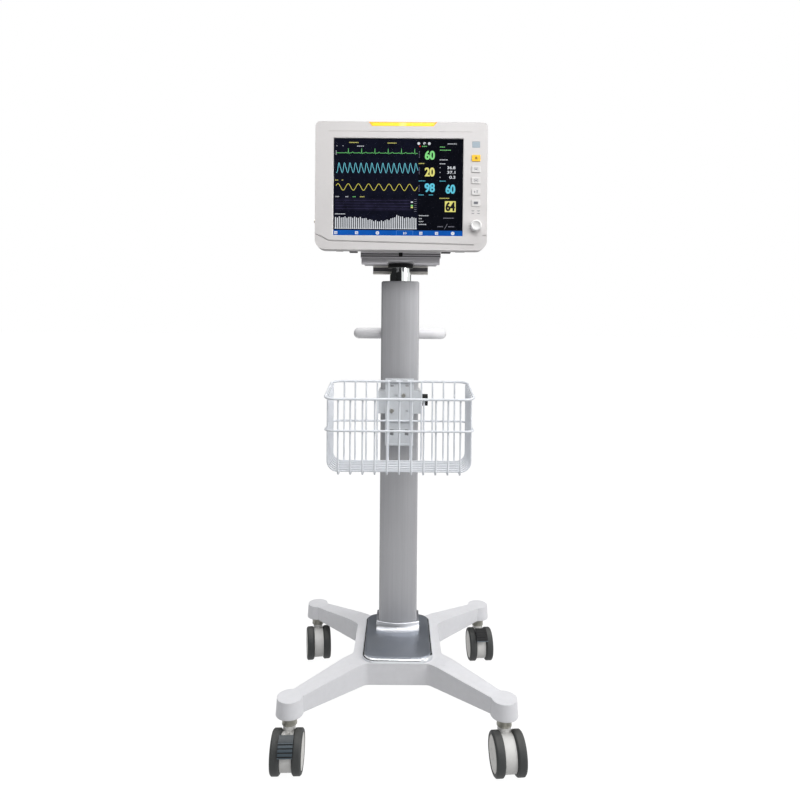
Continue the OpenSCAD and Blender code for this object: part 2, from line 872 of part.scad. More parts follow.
// ---- basket ----

module basket_hoops() {
    color("whitesmoke") {
        translate([0, basket_mid_y, (rim_front_z + rim_back_z) / 2]) rotate([basket_tilt, 0, 0])
            hoop(basket_width, basket_depth / cos(basket_tilt), basket_corner, rim_wire);
        translate([0, basket_mid_y, ring_z])
            hoop(basket_width - 2 * (rim_wire - ring_wire),
                basket_depth - 2 * (rim_wire - ring_wire), basket_corner, ring_wire);
    }
}

function rim_z(y) = rim_front_z + (y - basket_front_mid) * tan(basket_tilt);

module basket_long_wires() {
    half = (long_count - 1) / 2;
    color("white") for (i = [-half : half])
        translate([i * long_pitch, basket_mid_y, long_z]) rotate([0, 0, 90])
            wire_u(long_span, rim_z(basket_mid_y - long_span / 2) - long_z,
                rim_z(basket_mid_y + long_span / 2) - long_z, long_bend, long_wire);
}

module basket_cross_wires() {
    half = (cross_count - 1) / 2;
    color("white") for (i = [-half : half]) {
        y = basket_mid_y + i * cross_pitch;
        translate([0, y, cross_z])
            wire_u(cross_span, rim_z(y) - cross_z, rim_z(y) - cross_z, cross_bend, cross_wire);
    }
}

// ---- basket bracket ----

hook_w = 12;
hook_x = long_pitch / 2;
slot_x = 18.5;
tall_slot = [8.7, 15, 667.5];
flat_slot = [8, 5, 782.5];

module basket_bracket() {
    color("whitesmoke") difference() {
        union() {
            translate([-bracket_w / 2, plate_y, bracket_low])
                cube([bracket_w, bracket_t, bracket_top - bracket_low]);
            translate([-bracket_w / 2, plate_y - 3, bracket_low])
                cube([bracket_w, 3, 4]);
            for (s = [-1, 1])
                translate([s * hook_x - hook_w / 2, basket_rear_mid - rim_wire - 2,
                    rim_back_z - 1])
                    cube([hook_w, 2 * rim_wire + 2, rim_wire + 3]);
        }
        rod_x([-bracket_w, basket_rear_mid, rim_back_z], rim_wire, 2 * bracket_w);
        translate([-bracket_w, basket_rear_mid - rim_wire, rim_back_z - 2])
            cube([2 * bracket_w, 2 * rim_wire, 2]);
        for (p = bracket_bolt) rod_y([p.x, plate_y - 1, p.y], bolt_r, bracket_t + 2);
        for (slot = [tall_slot, flat_slot], s = [-1, 1])
            translate([s * slot_x - slot.x / 2, plate_y - 1, slot.z - slot.y / 2])
                cube([slot.x, bracket_t + 2, slot.y]);
        for (p = bracket_hole) rod_y([p.x, plate_y - 1, p.y], 3.2, bracket_t + 2);
    }
}

module basket_clamp() {
    low = cclamp_z - cclamp_h / 2;
    web = column_face - seat_gap - cclamp_t - cclamp_y;
    color("gainsboro") difference() {
        union() {
            translate([-cclamp_w / 2, cclamp_y, low])
                cube([cclamp_w, cclamp_rear - cclamp_y, cclamp_h]);
            rod_x([cclamp_w / 2 - 1, column_y, cclamp_z], stud_r + 5, boss_x - cclamp_w / 2 + 1);
        }
        translate([0, 0, low - 1]) linear_extrude(cclamp_h + 2) {
            column_hole();
            translate([-column_w / 2 + 12, column_y])
                square([column_w - 24, column_d]);
        }
        translate([-cclamp_w / 2 + cclamp_t, cclamp_y + cclamp_t + 8, low - 1])
            cube([cclamp_w - 2 * cclamp_t, web - cclamp_t - 8, cclamp_h + 2]);
        for (p = bracket_bolt) rod_y([p.x, cclamp_y - 1, p.y], bolt_r, bolt_len);
        rod_x([column_w / 2 - 2, column_y, cclamp_z], stud_r + turn_fit, boss_x);
    }
}

module clamp_knob() {
    from = column_w / 2 + slide_gap;
    grip_x = boss_x + slide_gap;
    color([0.12, 0.12, 0.13]) {
        rod_x([from, column_y, cclamp_z], stud_r, grip_x - from + 2);
        difference() {
            rod_x([grip_x, column_y, cclamp_z], star_r, star_t);
            for (a = [0 : 60 : 300])
                rod_x([grip_x - 1, column_y + (star_r + 2) * cos(a),
                    cclamp_z + (star_r + 2) * sin(a)], 4.5, star_t + 2);
        }
    }
}

// ---- head ----

bush_r = spigot_r + turn_fit + bush_wall;

web_z = head_z + head_h - web_h;
bore_top = head_z + head_h - 1.5;

// An angle section: a lip along the front and a flat web that the bush hangs from
module head_block() {
    front = column_y - head_front;
    rear = column_y + head_rear;
    c = 3;
    color("darkgray") difference() {
        sideways(-head_w / 2, head_w) polygon([
            [front + c, head_z], [front + lip_d, head_z], [front + lip_d, web_z],
            [rear, web_z], [rear, head_z + head_h], [front, head_z + head_h],
            [front, head_z + c]
        ]);
        translate([-bush_flange_r, front - 1, head_z - 1])
            cube([2 * bush_flange_r, lip_d + 2, notch_h + 1]);
        translate([0, column_y, head_z - 1]) cylinder(r = bush_r, h = bore_top - head_z + 1);
    }
}

module post_bush() {
    color([0.1, 0.1, 0.11]) translate([0, column_y, 0]) difference() {
        union() {
            translate([0, 0, web_z - bush_flange_h])
                cylinder(r = bush_flange_r, h = bush_flange_h);
            translate([0, 0, web_z]) cylinder(r = bush_r, h = bore_top - 0.5 - web_z);
        }
        translate([0, 0, web_z - bush_flange_h - 1])
            cylinder(r = spigot_r + turn_fit, h = web_h + bush_flange_h + 2);
    }
}

module head_rail() {
    y = column_y + head_rear;
    top = head_z + head_h;
    color("silver") difference() {
        sideways(-rail_w / 2, rail_w) polygon(rounded(
            [[y, top - rail_h], [y + rail_t, top - rail_h], [y + rail_t, top], [y, top]],
            [2, 2, 2, 2], 4));
        for (z = [top - rail_h * 0.3, top - rail_h * 0.7])
            translate([-rail_w, y + rail_t - 2, z - 2]) cube([2 * rail_w, 3, 4]);
    }
}

slide_front = column_y - head_front - 2;
slide_rear = column_y + head_rear - 20;
latch_z = slide_z + slide_h - latch_h / 2 - 2;
slot_h = latch_h + 2 * slide_gap;

module slide_plate() {
    color("silver") difference() {
        translate([-slide_w / 2, slide_front, slide_z])
            cube([slide_w, slide_rear - slide_front, slide_h]);
        for (z = [slide_z + 3, slide_z + 9])
            translate([-slide_w, slide_front - 1, z - 1.2]) cube([2 * slide_w, 2.5, 2.4]);
        translate([-latch_w / 2 - slide_gap, slide_front - 1, latch_z - slot_h / 2])
            cube([latch_w + 2 * slide_gap, 1 + latch_len + latch_travel + slide_gap, slot_h]);
        for (x = [-slide_bolt_x, slide_bolt_x], y = slide_bolt_y)
            translate([x, y, slide_z - 1]) {
                cylinder(r = case_r, h = slide_h + 2);
                cylinder(r = case_head_r + seat_gap, h = 1 + case_head_h + 4);
            }
    }
}

module release_button() {
    color([0.08, 0.08, 0.09]) difference() {
        translate([-latch_w / 2, slide_front, latch_z - latch_h / 2])
            cube([latch_w, latch_len, latch_h]);
        for (s = [-1, 1])
            translate([-latch_w, slide_front - 1, latch_z + s * latch_h / 4 - 0.4])
                cube([2 * latch_w, 1.6, 0.8]);
    }
}

module pan_screw() {
    cylinder(r = case_r, h = case_len);
    difference() {
        translate([0, 0, -case_head_h]) cylinder(r = case_head_r, h = case_head_h);
        translate([-0.5, -2.4, -case_head_h - 1]) cube([1, 4.8, 2]);
        translate([-2.4, -0.5, -case_head_h - 1]) cube([4.8, 1, 2]);
    }
}

module monitor_screws() {
    color("silver") {
        for (x = [-slide_bolt_x, slide_bolt_x], y = slide_bolt_y)
            translate([x, y, slide_z + case_head_h + 4]) pan_screw();
        for (x = [-case_bolt_x, case_bolt_x], z = case_bolt_z)
            translate([x, monitor_back, z]) rotate([90, 0, 0]) pan_screw();
    }
}

// ---- monitor ----

// The face's outline in X and Z, grown by g
module face_outline(g) {
    half = face_w / 2 + g;
    low = face_z - g;
    high = face_z + face_h + g;
    rt = corner_top + g;
    rl = corner_low + g;
    translate([-half + rl, low]) square([2 * (half - rl), high - low - rt]);
    translate([-half + rt, high - 2 * rt]) square([2 * (half - rt), 2 * rt]);
    translate([-half, low + rl]) square([2 * half, high - rt - low - rl]);
    for (s = [-1, 1]) {
        translate([s * (half - rl), low + rl]) circle(r = rl);
        translate([s * (half - rt), high - rt]) circle(r = rt);
    }
}

// The alarm lens in X and Z, grown by g at its sides and its lower edge
module lens_outline(g, top) {
    half = lens_w / 2;
    polygon([
        [lens_x - half - g, top], [lens_x - half + lens_slant - g, top - lens_h - g],
        [lens_x + half - lens_slant + g, top - lens_h - g], [lens_x + half + g, top]
    ]);
}

module front_bezel() {
    top = face_z + face_h;
    color("gainsboro") difference() {
        upright(face_y, bezel_d) face_outline(0);
        upright(face_y + bezel_wall, bezel_d) face_outline(-bezel_wall);
        upright(face_y - 1, bezel_wall + 2)
            translate([screen_x, screen_z]) square([screen_w, screen_h], center = true);
        upright(face_y - 1, lens_d + seat_gap + 1) {
            lens_outline(seat_gap, top);
            translate([lens_x, top + 1])
                square([lens_w + 2 * seat_gap, 2.02], center = true);
        }
        for (rise = key_rise) upright(face_y - 1, bezel_wall + 2)
            translate([key_x, face_mid + rise])
                round_rect(key_w + 2 * slide_gap, key_h + 2 * slide_gap, key_corner + slide_gap);
        rod_y([key_x, face_y - 1, face_mid - knob_down], shaft_r + 0.5, bezel_wall + 2);
    }
}

module screen_window() {
    color([0.1, 0.12, 0.2]) upright(glass_y, glass_t)
        translate([screen_x, screen_z]) square([panel_w, panel_h], center = true);
}

module display_panel() {
    color([0.25, 0.27, 0.3]) upright(panel_y, panel_t)
        translate([screen_x, screen_z]) square([panel_w, panel_h], center = true);
}

module alarm_lens() {
    color("gold") upright(face_y, lens_d) lens_outline(0, face_z + face_h);
}

// A thin slab of the rear cover's section, with its edges pulled in by g
module cover_slab(y, inset, low, high, r, g) {
    w = face_w - 2 * inset - 2 * g;
    h = high - low - 2 * g;
    translate([0, 0, (low + high) / 2]) upright(y, 0.5) round_rect(w, h, r, $fn = 32);
}

module cover_form(g) {
    hull() {
        cover_slab(bezel_back - (g > 0 ? 1 : 0), cover_in, cover_low, cover_high, 14, g);
        cover_slab(cover_mid_y, cover_mid_in, cover_mid_low, cover_high - 6, 16, g);
        cover_slab(monitor_back - 0.5 - g, cover_rear_in, cover_rear_low, cover_rear_high, 20, g);
    }
}

case_bolt_x = 138;
case_bolt_z = [face_mid - 100, face_mid + 92];
inlet_x = 95;
inlet_z = face_mid - 88;
earth_x = 140;
earth_z = face_mid - 70;
pad_half = 88;
pad_front = face_y + 46;
pad_rear = face_y + 124;

function under_z(y) = cover_low + cover_climb * (y - bezel_back);

module rear_cover() {
    color("gainsboro") difference() {
        union() {
            difference() {
                cover_form(0);
                cover_form(shell_wall);
            }
            sideways(-pad_half, 2 * pad_half) polygon([
                [pad_front, face_z], [pad_rear, face_z],
                [pad_rear, under_z(pad_rear) + 1], [pad_front, under_z(pad_front) + 1]
            ]);
            for (x = [-vesa / 2, vesa / 2], z = [-vesa / 2, vesa / 2])
                rod_y([x, monitor_back - 14, vesa_z + z], vesa_r + 3, 13.5);
            for (x = [-case_bolt_x, case_bolt_x], z = case_bolt_z)
                rod_y([x, monitor_back - case_len - 3, z], case_r + 3, case_len + 2.5);
            for (x = [-slide_bolt_x, slide_bolt_x], y = slide_bolt_y)
                translate([x, y, face_z]) cylinder(r = case_r + 4, h = case_len + 4);
        }
        for (x = [-vesa / 2, vesa / 2], z = [-vesa / 2, vesa / 2])
            rod_y([x, monitor_back - 12, vesa_z + z], vesa_r, 14);
        for (x = [-case_bolt_x, case_bolt_x], z = case_bolt_z)
            rod_y([x, monitor_back - case_len, z], case_r, case_len + 2);
        for (x = [-slide_bolt_x, slide_bolt_x], y = slide_bolt_y)
            translate([x, y, face_z - 1]) cylinder(r = case_r, h = case_len);
        for (i = [0 : 3]) rod_x([-face_w, socket_y, face_mid + socket_rise[i]], socket_r[i], 50 + face_w / 2);
        rod_x([-face_w, socket_y, face_mid + port_rise], port_r + 5, 50 + face_w / 2);
        for (z = [0 : 7], s = [-1, 1])
            translate([s * 90 - 30, monitor_back - 6, face_mid + 52 + 6 * z]) cube([60, 8, 3]);
        translate([inlet_x - 14, monitor_back - 6, inlet_z - 10]) cube([28, 8, 20]);
        rod_y([earth_x, monitor_back - 6, earth_z], stud_pin_r, 8);
    }
}

// Pads under the cover: the outer pair in front, the inner pair behind
FEET = [[-148, 50, 17, 2.6], [-120, 128, 20, 9.5], [115, 128, 23, 9.5], [144, 50, 23, 2.6]];

module rubber_feet() {
    color("dimgray") for (f = FEET) {
        y = face_y + f[1];
        sideways(f[0] - f[2] / 2, f[2]) polygon([
            [y - 9, face_z + f[3]], [y + 9, face_z + f[3]],
            [y + 9, foot_top(y + 9) - seat_gap], [y - 9, foot_top(y - 9) - seat_gap]
        ]);
    }
}

function rear_climb() = (cover_rear_low - cover_mid_low) / (monitor_back - 0.5 - cover_mid_y);
function foot_top(y) =
    y < cover_mid_y ? under_z(y) : cover_mid_low + rear_climb() * (y - cover_mid_y);

// X of the cover's left side at the sockets
socket_face = -(face_w / 2 - cover_in) + cover_climb * (socket_y - bezel_back);

module sensor_sockets() {
    colors = ["gold", "steelblue", "tan", "tan"];
    for (i = [0 : 3]) color(colors[i]) difference() {
        union() {
            rod_x([socket_face - 3, socket_y, face_mid + socket_rise[i]], socket_r[i], 22);
            rod_x([socket_face - 5, socket_y, face_mid + socket_rise[i]], socket_r[i] + 2, 3);
        }
        rod_x([socket_face - 6, socket_y, face_mid + socket_rise[i]], socket_bore[i],
            socket_deep + 1);
    }
}

module pressure_port() {
    at = [socket_face, socket_y, face_mid + port_rise];
    color("silver") difference() {
        union() {
            rod_x(at - [5, 0, 0], port_r + 7, 3);
            rod_x(at - [3, 0, 0], port_r + 5, 20);
            rod_x(at - [5 + port_out, 0, 0], port_r, port_out + 1);
        }
        rod_x(at - [6 + port_out, 0, 0], port_r / 2, port_out + 20);
    }
}

module power_inlet() {
    color([0.1, 0.1, 0.1]) translate([inlet_x, monitor_back, inlet_z]) {
        difference() {
            union() {
                translate([-18, 0, -13]) cube([36, 2, 26]);
                translate([-14, -20, -10]) cube([28, 21, 20]);
            }
            translate([-12, -16, -8]) cube([24, 20, 16]);
        }
        for (p = [[-7, -2], [0, 3], [7, -2]])
            translate([p.x - 1, -17, p.y - 2]) cube([2, 14, 4]);
    }
}

module earth_stud() {
    color("goldenrod") translate([earth_x, monitor_back, earth_z]) {
        rod_y([0, -10, 0], stud_pin_r, stud_pin_len + 10);
        rotate([-90, 0, 0]) cylinder(r = stud_pin_r + 3, h = 4, $fn = 6);
    }
}

module main_board() {
    y = panel_y + panel_t + 6;
    color("darkgreen") translate([screen_x, y, screen_z + 10]) {
        translate([-board_size.x / 2, 0, -board_size.z / 2]) cube(board_size);
        translate([-70, board_size.y, -40]) cube([40, 5, 40]);
        translate([10, board_size.y, 10]) cube([60, 12, 30]);
        translate([-30, board_size.y, -60]) cube([90, 8, 12]);
    }
}

module power_supply() {
    color("silver") translate([20, bezel_back + 46, face_z + 38]) cube(supply_size);
}

module battery_pack() {
    color("steelblue") translate([-battery_size.x - 20, bezel_back + 30, face_z + 24])
        cube(battery_size);
}

module pressure_pump() {
    at = [-90, bezel_back + 60, face_z + 84];
    color("dimgray") {
        translate(at) cylinder(r = pump_r, h = pump_h);
        translate(at + [-pump_head_w / 2, -pump_head_w / 2, pump_h])
            cube([pump_head_w, pump_head_w, pump_head_h]);
    }
}

// ---- keys and knob ----

module key_board() {
    color("darkgreen") {
        difference() {
            union() {
                translate([key_x - 11, board_y, face_mid - knob_down - 14])
                    cube([22, 1.6, knob_down + max(key_rise) + 26]);
                for (rise = key_rise)
                    translate([key_x - 3, switch_y, face_mid + rise - 3])
                        cube([6, board_y - switch_y, 6]);
                translate([key_x - 7, face_y + bezel_wall + 2, face_mid - knob_down - 7])
                    cube([14, board_y - face_y - bezel_wall - 2, 14]);
            }
            rod_y([key_x, face_y, face_mid - knob_down], shaft_r + turn_fit, bezel_wall + 9);
        }
    }
}

module key(i, tint) {
    inner = face_y + bezel_wall + slide_gap;
    color(tint) translate([key_x, 0, face_mid + key_rise[i]]) {
        upright(face_y - key_proud, key_proud + bezel_wall + slide_gap)
            round_rect(key_w, key_h, key_corner);
        upright(inner, 1.5)
            round_rect(key_w + 2 * key_flange, key_h + 2 * key_flange, key_corner);
    }
}

module knob() {
    color("whitesmoke") {
        rod_y([key_x, face_y - slide_gap - 1, face_mid - knob_down], shaft_r,
            bezel_wall + 9 - slide_gap);
        translate([key_x, face_y - slide_gap, face_mid - knob_down]) rotate([90, 0, 0])
            rotate_extrude() polygon([
                [0, 0], [knob_r, 0], [knob_r, 3], [knob_r - 1, knob_proud - 2],
                [knob_r - 3, knob_proud], [knob_r - 5, knob_proud - 1.2], [0, knob_proud - 2]
            ]);
    }
}

base_frame();
base_cover();
caster_stems();
column();
column_cap();
column_screws();
post();
push_handle();
handle_clamp();
basket_hoops();
basket_long_wires();
basket_cross_wires();
basket_bracket();
basket_clamp();
clamp_knob();
housing(FL, true);  // housing_fl
housing(FR, false);  // housing_fr
housing(RL, false);  // housing_rl
housing(RR, true);  // housing_rr
axle(FL);  // axle_fl
axle(FR);  // axle_fr
axle(RL);  // axle_rl
axle(RR);  // axle_rr
wheels(FL);  // wheels_fl
wheels(FR);  // wheels_fr
wheels(RL);  // wheels_rl
wheels(RR);  // wheels_rr
tyres(FL);  // tyres_fl
tyres(FR);  // tyres_fr
tyres(RL);  // tyres_rl
tyres(RR);  // tyres_rr
pedal(FL, 0);  // pedal_fl
pedal(RR, pedal_lift);  // pedal_rr
head_block();
post_bush();
head_rail();
slide_plate();
release_button();
monitor_screws();
front_bezel();
rear_cover();
screen_window();
display_panel();
alarm_lens();
rubber_feet();
sensor_sockets();
pressure_port();
power_inlet();
earth_stud();
main_board();
power_supply();
battery_pack();
pressure_pump();
key_board();
key(0, "gold");  // alarm_key
key(1, "whitesmoke");  // key_1
key(2, "whitesmoke");  // key_2
key(3, "whitesmoke");  // key_3
key(4, "whitesmoke");  // key_4
knob();
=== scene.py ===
"""A patient monitor on a rolling stand: the finished looks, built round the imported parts.

Sizes in the modelling code are millimetres; piece() turns them into metres.
"""

import json
import math

import bmesh
import bpy
from mathutils import Matrix, Vector


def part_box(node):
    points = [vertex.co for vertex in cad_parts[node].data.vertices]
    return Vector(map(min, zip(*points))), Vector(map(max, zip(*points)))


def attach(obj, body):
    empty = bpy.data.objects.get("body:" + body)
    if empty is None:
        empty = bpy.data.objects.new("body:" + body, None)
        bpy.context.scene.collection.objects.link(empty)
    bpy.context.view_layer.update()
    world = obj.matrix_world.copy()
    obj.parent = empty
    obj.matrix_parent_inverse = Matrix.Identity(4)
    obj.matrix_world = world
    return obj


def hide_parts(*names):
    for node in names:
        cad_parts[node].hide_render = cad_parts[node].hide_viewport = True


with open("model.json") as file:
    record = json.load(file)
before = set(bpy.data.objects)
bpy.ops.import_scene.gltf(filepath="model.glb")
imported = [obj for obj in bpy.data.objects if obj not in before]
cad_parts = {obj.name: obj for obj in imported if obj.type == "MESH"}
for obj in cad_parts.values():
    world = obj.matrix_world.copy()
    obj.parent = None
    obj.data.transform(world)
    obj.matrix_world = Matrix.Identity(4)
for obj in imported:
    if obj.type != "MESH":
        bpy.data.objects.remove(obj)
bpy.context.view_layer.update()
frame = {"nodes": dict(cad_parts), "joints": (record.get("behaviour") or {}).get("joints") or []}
nodes = frame["nodes"]
joints = {joint["name"]: joint for joint in frame["joints"]}
collection = bpy.context.scene.collection
ops = bmesh.ops
MM = 0.001
X, Y, Z = Vector((1, 0, 0)), Vector((0, 1, 0)), Vector((0, 0, 1))
UPRIGHT = Matrix.Rotation(math.pi / 2, 3, "X")


# ---- finishes ----

def tint(red, green, blue):
    """A colour on the 0 to 255 scale, made linear."""
    def linear(level):
        level /= 255
        return level / 12.92 if level <= 0.04045 else ((level + 0.055) / 1.055) ** 2.4
    return (linear(red), linear(green), linear(blue), 1.0)


class Tree:
    """Adds nodes to one node tree."""

    def __init__(self, tree):
        self.nodes = tree.nodes
        self.links = tree.links
        self.shader = tree.nodes.get("Principled BSDF")

    def add(self, kind, **settings):
        made = self.nodes.new("ShaderNode" + kind)
        for name, value in settings.items():
            setattr(made, name, value)
        return made

    def feed(self, socket, value):
        if isinstance(value, bpy.types.NodeSocket):
            self.links.new(value, socket)
        elif value is not None:
            socket.default_value = value

    def fill(self, made, **values):
        for label, value in values.items():
            self.feed(made.inputs[label.replace("_", " ")], value)
        return made

    def clear(self):
        for node in list(self.nodes):
            self.nodes.remove(node)

    def sum(self, operation, *values, clamp=False):
        made = self.add("Math", operation=operation, use_clamp=clamp)
        for socket, value in zip(made.inputs, values):
            self.feed(socket, value)
        return made.outputs[0]

    def mix(self, share, first, second):
        made = self.add("Mix", data_type="RGBA")
        self.feed(made.inputs[0], share)
        self.feed(made.inputs[6], first)
        self.feed(made.inputs[7], second)
        return made.outputs[2]

    def spread(self, value, low, high, to_low, to_high, kind="LINEAR"):
        made = self.add("MapRange", interpolation_type=kind)
        for socket, number in zip(made.inputs, (value, low, high, to_low, to_high)):
            self.feed(socket, number)
        return made.outputs[0]

    def noise(self, vector, scale, detail=2.0, rough=0.5):
        made = self.add("TexNoise")
        self.fill(made, Vector=vector, Scale=scale, Detail=detail, Roughness=rough)
        return made.outputs["Fac"]

    def use(self, group, **values):
        return self.fill(self.add("Group", node_tree=group), **values).outputs


def effect(name, numbers, outputs):
    """A shared node group for a place on a surface: the group, its tree, inputs and outputs."""
    group = bpy.data.node_groups.new(name, "ShaderNodeTree")
    socket = group.interface.new_socket
    socket(name="Vector", in_out="INPUT", socket_type="NodeSocketVector")
    for label, value in numbers.items():
        socket(name=label, in_out="INPUT", socket_type="NodeSocketFloat").default_value = value
    for label in outputs:
        socket(name=label, in_out="OUTPUT", socket_type="NodeSocketFloat")
    put, out = group.nodes.new("NodeGroupInput").outputs, group.nodes.new("NodeGroupOutput").inputs
    return group, Tree(group), put, out


def make_edge_wear():
    """Where an outer edge is rubbed down to what lies under the finish."""
    group, t, put, out = effect("edge_wear", {"Radius": 0.0008, "Amount": 0.4}, ["Mask"])
    rounded = t.fill(t.add("Bevel", samples=3), Radius=put["Radius"])
    facing = t.add("VectorMath", operation="DOT_PRODUCT")
    t.feed(facing.inputs[0], rounded.outputs[0])
    t.feed(facing.inputs[1], t.add("NewGeometry").outputs["Normal"])
    edge = t.spread(facing.outputs["Value"], 0.99, 0.85, 0.0, 1.0)
    rubbed = t.spread(t.noise(put["Vector"], 90.0, 3.0, 0.6), 0.46, 0.66, 0.0, 1.0)
    t.feed(out["Mask"], t.sum("MULTIPLY", t.sum("MULTIPLY", edge, rubbed), put["Amount"]))
    return group


def make_dust():
    """Dust that settles on what faces up."""
    group, t, put, out = effect("settled_dust", {"Amount": 0.2}, ["Mask"])
    up = t.add("SeparateXYZ")
    t.feed(up.inputs[0], t.add("NewGeometry").outputs["Normal"])
    level = t.spread(up.outputs["Z"], 0.55, 1.0, 0.0, 1.0)
    cloud = t.spread(t.noise(put["Vector"], 26.0, 4.0, 0.6), 0.35, 0.75, 0.15, 1.0)
    t.feed(out["Mask"], t.sum("MULTIPLY", t.sum("MULTIPLY", level, cloud), put["Amount"]))
    return group


def make_relief(name, scale, fine, first, second, share):
    """A fine relief, and changes of tone in two layers; each layer is scale, detail, roughness."""
    group, t, put, out = effect(name, {"Scale": scale}, ["Height", "Tone"])
    layers = [t.noise(put["Vector"], t.sum("MULTIPLY", put["Scale"], size), detail, rough)
              for size, detail, rough in (fine, first, second)]
    t.feed(out["Height"], layers[0])
    t.feed(out["Tone"], t.sum("ADD", t.sum("MULTIPLY", layers[1], share),
                              t.sum("MULTIPLY", layers[2], 1 - share)))
    return group


EDGE_WEAR, DUST = make_edge_wear(), make_dust()
# The texture of a moulded, painted or cast surface.
GRAIN = make_relief("fine_grain", 1400, (1, 2, 0.6), (0.006, 3, 0.55), (0.08, 2, 0.5), 0.65)
# The long fine lines that brushing or drawing leaves in metal; the vector comes stretched.
BRUSH = make_relief("brush_lines", 900, (1, 3, 0.7), (1, 3, 0.7), (0.13, 2, 0.5), 0.55)
DUST_TINT = tint(196, 190, 180)


def new_look(name):
    look = bpy.data.materials.new(name)
    look.use_nodes = True
    return look, Tree(look.node_tree)


def finish(name, colour, rough, metal=0.0, spread=0.05, grain=1400.0, relief=0.00003, worn=0.3,
           bare=None, radius=0.0007, dust=0.12, stretch=None, lines=900.0, eased_by=None,
           **plain):
    """A procedural finish: a toned colour with grain or brush lines, rubbed edges and dust.

    stretch lays brush lines along the axis whose number is small; eased_by rounds the shading
    over sharp edges; plain holds values that are the same all over and go straight to the
    shader's own sockets.
    """
    look, t = new_look(name)
    where = t.add("TexCoord").outputs["Object"]
    if stretch:
        lay = t.fill(t.add("Mapping"), Vector=where, Scale=stretch)
        marks = t.use(BRUSH, Vector=lay.outputs[0], Scale=lines)
    else:
        marks = t.use(GRAIN, Vector=where, Scale=grain)
    tone = t.spread(marks["Tone"], 0.3, 0.7, 0.0, 1.0)
    dark = [level * (1 - spread) for level in colour[:3]] + [1.0]
    light = [min(1.0, level * (1 + spread)) for level in colour[:3]] + [1.0]
    shown = t.mix(tone, dark, light)
    if worn:
        rubbed = t.use(EDGE_WEAR, Vector=where, Radius=radius, Amount=worn)["Mask"]
        under = bare or [min(1.0, level * 1.25 + 0.02) for level in colour[:3]] + [1.0]
        shown = t.mix(rubbed, shown, under)
    gloss = t.spread(tone, 0.0, 1.0, max(0.0, rough - 0.05), min(1.0, rough + 0.05))
    if dust:
        settled = t.use(DUST, Vector=where, Amount=dust)["Mask"]
        shown = t.mix(settled, shown, DUST_TINT)
        gloss = t.sum("ADD", gloss, t.sum("MULTIPLY", settled, 0.4), clamp=True)
    bump = t.fill(t.add("Bump"), Distance=relief, Height=marks["Height"])
    if eased_by:
        rounded = t.fill(t.add("Bevel", samples=4), Radius=eased_by)
        t.feed(bump.inputs["Normal"], rounded.outputs[0])
    t.fill(t.shader, Base_Color=shown, Roughness=gloss, Metallic=metal,
           Normal=bump.outputs["Normal"], **plain)
    return look


